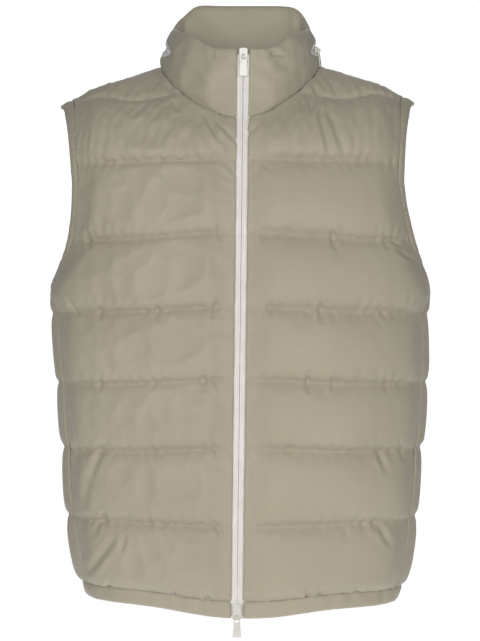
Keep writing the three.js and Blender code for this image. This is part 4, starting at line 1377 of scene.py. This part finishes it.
# Short tucks across the quilting lines: each by its line, its place, how far it leans and its size
frontTucks = table(
    "line x lean length depth",
    (7, 185, 0, 14, 1.4),
    (6, -185, 3, 16, 1.8),
    (6, -25, 2, 14, 1.6),
    (6, 25, 0, 14, 1.4),
    (6, 110, 2, 20, 2.4),
    (6, 175, 2, 14, 1.6),
    (5, -170, 0, 14, 1.6),
    (5, -100, 0, 16, 1.5),
    (5, -30, -7, 20, 2.4),
    (5, 35, 0, 14, 1.6),
    (5, 95, 2, 24, 2.4),
    (5, 170, 6, 14, 1.6),
    (4, -170, 0, 14, 1.4),
    (4, -105, 0, 14, 1.5),
    (4, -45, 3, 22, 1.8),
    (4, -30, 3, 14, 1.6),
    (4, 80, 0, 20, 2.4),
    (4, 110, 0, 16, 1.4),
    (4, 175, 0, 16, 1.4),
    (3, -200, 3, 18, 1.8),
    (3, -105, 3, 16, 1.5),
    (3, -30, 6, 18, 1.6),
    (3, 195, 4, 20, 1.6),
    (2, -165, 2, 18, 1.5),
    (2, -110, 3, 16, 1.5),
    (2, -30, 14, 22, 2),
    (2, 160, 3, 16, 1.5),
    (1, -160, 0, 14, 1.6),
    (1, -80, 0, 16, 1.6),
    (1, -40, 3, 18, 1.8),
    (1, 80, 0, 18, 2.2),
    (1, 95, 0, 16, 1.8),
    (1, 140, 0, 14, 1.4),
)
tuckReach = 3


def tuckCrease(tuck):
    hand = 1 if tuck["x"] > 0 else -1
    angle = angleAtWidth(tuck["line"], abs(tuck["x"]))
    middle = clothPoint(hand, angle, tuck["line"], 0)[2]
    return {
        "x": tuck["x"] - tuck["lean"] / 2,
        "z": middle + tuck["length"] / 2,
        "toX": tuck["x"] + tuck["lean"] / 2,
        "toZ": middle - tuck["length"] / 2,
        "depth": tuck["depth"],
        "reach": tuckReach,
    }


frontCreases += [tuckCrease(tuck) for tuck in frontTucks]
collarCreases = table(
    "x z toX toZ depth reach",
    (-70, -14, -32, -38, 1.3, 3.6),
    (18, -30, 36, -21, 1.1, 3.6),
    (-36, 40, -34, 29, 2.2, 2.6),
    (37, 35, 53, 32, 2.0, 2.6),
    (42, 35, 35, 27, 1.4, 2.6),
    (22, 38, 23, 30, 1.2, 2.6),
)
collarInsideCreases = table(
    "x z toX toZ depth reach",
    (-70, 109, -72, 79, 2.4, 4),
    (74, 114, 76, 80, 2.2, 4),
)
backCreases = table(
    "x z toX toZ depth reach",
    (-88, -30, -104, -74, 2.0, 4),
    (72, -34, 92, -86, 1.8, 4),
    (24, -178, 20, -206, 1.6, 3.5),
    (-120, -262, -126, -288, 2.0, 3.5),
    (60, -264, 56, -292, 1.6, 3.5),
    (142, -350, 146, -374, 2.0, 3.5),
    (-40, -352, -44, -378, 1.6, 3.5),
    (-150, -432, -168, -468, 2.0, 4),
    (90, -436, 96, -462, 1.6, 3.5),
    (150, -520, 176, -556, 2.2, 4),
    (-60, -520, -52, -548, 1.6, 3.5),
    (-110, -612, -126, -586, 2.0, 4),
)
creasing = {
    "strength": 1.25,
    "end": 0.05,
    "atEnds": 0.35,
    "ridge": 0.45,
    "ridgeAt": 2.1,
    "otherSide": 0.4,
    "keep": 1.3,
    "channel": 88,
    "pucker": 0.45,
    "puckerSize": 10,
    "puckerReach": 13,
    "coarse": 0.7,
    "coarseSize": 23,
    "upright": 0.3,
}
collarPress = {"frontTo": -40, "backFrom": 10, "facing": 3, "least": 0.5}


def creaseField(points, creases):  # negative in the troughs, positive on the ridges beside them
    field = np.zeros(len(points))
    for crease in creases:
        runX, runZ = crease["toX"] - crease["x"], crease["toZ"] - crease["z"]
        length = math.hypot(runX, runZ)
        fromX, fromZ = points[:, 0] - crease["x"], points[:, 2] - crease["z"]
        share = np.clip((fromX * runX + fromZ * runZ) / length**2, 0, 1)
        gap = np.hypot(fromX - share * runX, fromZ - share * runZ) / crease["reach"]
        side = np.sign(fromX * runZ - fromZ * runX)
        within = np.clip(share, creasing["end"], 1 - creasing["end"])
        fade = mix(creasing["atEnds"], 1, np.sin(math.pi * within))
        ridge = np.exp(-((gap - creasing["ridgeAt"]) ** 2))
        ridge = ridge * np.where(side > 0, 1, creasing["otherSide"])
        field += crease["depth"] * fade * (creasing["ridge"] * ridge - np.exp(-(gap**2)))
    return field


def puckerField(points):  # small gathers across the quilting lines
    heights = [line["zFront"] for line in lines]
    row = np.interp(points[:, 2], heights, np.arange(len(lines)))
    gap = np.abs(row - np.round(row)) * creasing["channel"]
    near = np.exp(-((gap / creasing["puckerReach"]) ** 2))
    stretched = points * np.array([1, 1, creasing["upright"]])
    noise = smoothNoise(stretched, creasing["puckerSize"], 51)
    coarse = smoothNoise(stretched, creasing["coarseSize"], 52)
    return creasing["pucker"] * near * (noise + creasing["coarse"] * coarse)


def meshArrays(mesh):  # its points, in millimetres, and their normals
    arrays = []
    for label in ("co", "normal"):
        values = np.empty(len(mesh.vertices) * 3)
        mesh.vertices.foreach_get(label, values)
        arrays.append(values.reshape(-1, 3))
    return arrays[0] / metres, arrays[1]


def pushOut(mesh, points, normals, field):
    moved = points + normals * field[:, None]
    mesh.vertices.foreach_set("co", (moved * metres).ravel())
    mesh.update()


def pressCollar(piece):
    points, normals = meshArrays(piece.data)
    inFront = creaseField(points, collarCreases)
    behind = creaseField(points, collarInsideCreases)
    field = np.where(points[:, 1] > collarPress["backFrom"], behind, 0)
    field = np.where(points[:, 1] < collarPress["frontTo"], inFront, field)
    facing = -collarPress["facing"] * normals[:, 1] - collarPress["least"]
    field *= np.clip(facing, 0, 1)  # only where the cloth faces the front
    pushOut(piece.data, points, normals, field)


def pressCreases(piece, isFront):
    points, normals = meshArrays(piece.data)
    thick = np.empty(len(points))
    piece.data.attributes["thickness"].data.foreach_get("value", thick)
    creases = frontCreases if isFront else backCreases
    field = creasing["strength"] * creaseField(points, creases) + puckerField(points)
    room = np.maximum(thick - creasing["keep"], 0)
    field = np.maximum(field, -room) * np.clip(room, 0, 1)
    pushOut(piece.data, points, normals, field)


# The panels
outlines = {hand: frontOutline(hand) for hand in (-1, 1)}
frontEdges = ("zip", "side", "neck")
jobs = [
    sewnPanel("front_right_cloth", True, -1, outlines[-1], panel["spacing"], frontEdges),
    sewnPanel("front_left_cloth", True, 1, outlines[1], panel["spacing"], frontEdges),
    sewnPanel("back_cloth", False, 1, backOutline(), panel["backSpacing"], ("side", "sideRight")),
    collarJob(),
]
print("cloth cut:", [len(job["points"]) for job in jobs])
shells = blowUp(jobs)
print("cloth filled")

panelNodes = ["front_right_panel", "front_left_panel", "back_panel"]
for job, shell, node in zip(jobs[:3], shells, panelNodes):
    piece = closePanel(job, shell)
    finishPiece(piece, shellCloth, node)
    pressCreases(piece, job["isFront"])
collarPiece = closeCollar(jobs[3], shells[3])
finishPiece(collarPiece, shellCloth, "collar")
pressCollar(collarPiece)
hemPiece = hemBand()
finishPiece(hemPiece, shellCloth, "hem_band")
print("panels, collar and hem made")

for hand, word in ((-1, "right"), (1, "left")):
    piece = armholeBinding(hand, f"armhole_binding_{word}_cloth")
    finishPiece(piece, bindingCloth, f"armhole_binding_{word}")
    piece = zipTape(hand, f"zip_tape_{word}_cloth")
    finishPiece(piece, tapeCloth, f"zip_tape_{word}")
    piece = pocketZip(hand, f"pocket_zip_{word}_cloth")
    finishPiece(piece, pocketShadeCloth, f"pocket_zip_{word}")
piece = collarZipTape()
finishPiece(piece, tapeCloth, "collar_zip_tape")
print("bindings and tapes made")

trims = {
    "top_slider": "vest",
    "top_pull": "top_zip_pull",
    "bottom_slider": "vest",
    "bottom_pull": "bottom_zip_pull",
    "collar_zip_slider": "vest",
    "collar_zip_pull": "collar_pull",
}
for node, bodyName in trims.items():
    softened(node, bodyName, f"{node}_enamelled", creamEnamel)
print("sliders and pulls made")

# Stitches in the quilting lines and coils behind the zips
stitch = {"Pitch": 3.4, "Length": 2.5, "Width": 0.45, "Height": 0.4}
coil = {"Pitch": 1.25, "Length": 0.95, "Width": 3.4, "Height": 1.1}
stitchLine = {"inset": 3, "points": 150, "from": 24, "above": 0.05}
coilDepth = {"front": 3.2, "collar": 1.7}
coilFrom = 3  # degrees past the start of the collar's tape


def quiltLines(piece, hand, isFront):
    paths = []
    for level in range(hemRow + 1, yokeRow + 1):
        row = np.array([float(level)])
        start, end = zipEdgeAngle(hand, row), outerAngle(True, row)
        if not isFront:
            start, end = outerAngle(False, row), np.array([math.pi - nearMiddle])
        inset = insetAngle(start, row, stitchLine["inset"])
        angles = np.linspace((start + inset)[0], (end - inset)[0], stitchLine["points"])
        rows = np.full(len(angles), float(level))
        out = worldNormal(hand, angles, rows)
        begin = clothPoint(hand, angles, rows, np.full(len(angles), stitchLine["from"]))
        path = []
        for origin, direction in zip(begin, out):
            hit, spot, _, _ = piece.ray_cast(Vector(origin * metres), Vector(-direction))
            if hit:
                path.append(np.array(spot) / metres + direction * stitchLine["above"])
        if len(path) > 1:
            paths.append(np.array(path))
    return paths


for node, hands, isFront in (
    ("front_right", (-1,), True),
    ("front_left", (1,), True),
    ("back", (-1, 1), False),
):
    panelPiece = bpy.data.objects[f"{node}_cloth"]
    paths = [path for hand in hands for path in quiltLines(panelPiece, hand, isFront)]
    piece = beadsAlong(f"{node}_stitches", paths, threadCloth, stitch)


def coilPath():
    point, normal = zipPath(1)
    behind = point - normal * coilDepth["front"]
    behind[:, 0] = zipX(point[:, 2])
    return behind


def collarCoilPath(hand):
    data = stationsAt(hand, collarTurns >= collarZip["begins"] + coilFrom)
    height = np.full((len(data["turn"]), 1), collarZip["height"])
    return collarOuter(data, height)[:, 0] + data["out"] * coilDepth["collar"]


piece = beadsAlong("front_zip_coil", [coilPath()], tapeCloth, coil)
collarPath = bothHands(collarCoilPath(-1), collarCoilPath(1))
piece = beadsAlong("collar_zip_coil", [collarPath], tapeCloth, {**coil, "Width": 3.0})
print("stitches and coils made")

# The stage: a pale floor that sweeps up behind, as far below the hem as under a wearer
stage = {
    "floor": -1.5,
    "front": -0.9,
    "half": 1.5,
    "back": 4.0,
    "height": 6.0,
    "sweep": 1.5,
    "steps": 14,
    "glow": 0.7,
}


def stageFloor():
    sweep = stage["sweep"]
    profile = [(stage["front"], stage["floor"])]
    for turn in np.linspace(0, math.pi / 2, stage["steps"] + 1).tolist():
        y = stage["back"] - sweep + sweep * math.sin(turn)
        profile.append((y, stage["floor"] + sweep * (1 - math.cos(turn))))
    profile.append((stage["back"], stage["height"]))
    points = [(x, y, z) for y, z in profile for x in (-stage["half"], stage["half"])]
    faces = [(2 * i, 2 * i + 1, 2 * i + 3, 2 * i + 2) for i in range(len(profile) - 1)]
    mesh = bpy.data.meshes.new("stage_floor")
    mesh.from_pydata(points, [], faces)
    mesh.shade_smooth()
    floor = addObject("stage_floor", mesh)
    material, _, shader = nodeMaterial("pale floor", 0.9)
    shader.inputs["Base Color"].default_value = (0.9, 0.9, 0.9, 1)
    shader.inputs["Emission Color"].default_value = (1, 1, 1, 1)
    shader.inputs["Emission Strength"].default_value = stage["glow"]
    mesh.materials.append(material)


def softLight(name, spot, target, size, power):
    light = bpy.data.lights.new(name, "AREA")
    light.shape = "RECTANGLE"
    light.size, light.size_y = size
    light.energy = power
    lamp = addObject(name, light)
    lamp.location = spot
    lamp.rotation_euler = (Vector(target) - Vector(spot)).to_track_quat("-Z", "Y").to_euler()


stageFloor()
softLight("front light", (-0.15, -3.0, 0), (0, 0, -0.1), (1.7, 1.3), 57)
softLight("right light", (1.7, -2.2, -0.4), (0, 0, -0.4), (0.9, 1.0), 9)
softLight("left light", (-1.7, -2.2, -0.4), (0, 0, -0.4), (0.9, 1.0), 4)
softLight("back light", (0.6, 3.2, -0.2), (0, 0, -0.3), (2.2, 1.4), 12)

world = bpy.data.worlds.new("studio")
world.use_nodes = True
world.node_tree.nodes["Background"].inputs["Color"].default_value = (1, 1, 1, 1)
world.node_tree.nodes["Background"].inputs["Strength"].default_value = 0.12
bpy.context.scene.world = world
bpy.context.scene.view_settings.view_transform = "Standard"

# The photograph's view: level, from straight in front
photo = {"distance": 2.3, "height": -0.29, "across": -0.00126, "tall": 0.80766, "sensor": 36}
camera = addObject("camera", bpy.data.cameras.new("camera"))
camera.data.sensor_width = photo["sensor"]
camera.data.lens = photo["sensor"] * photo["distance"] / photo["tall"]
camera.location = (photo["across"], -photo["distance"], photo["height"])
camera.rotation_euler = (math.pi / 2, 0, 0)
bpy.context.scene.camera = camera
print("stage and camera set")
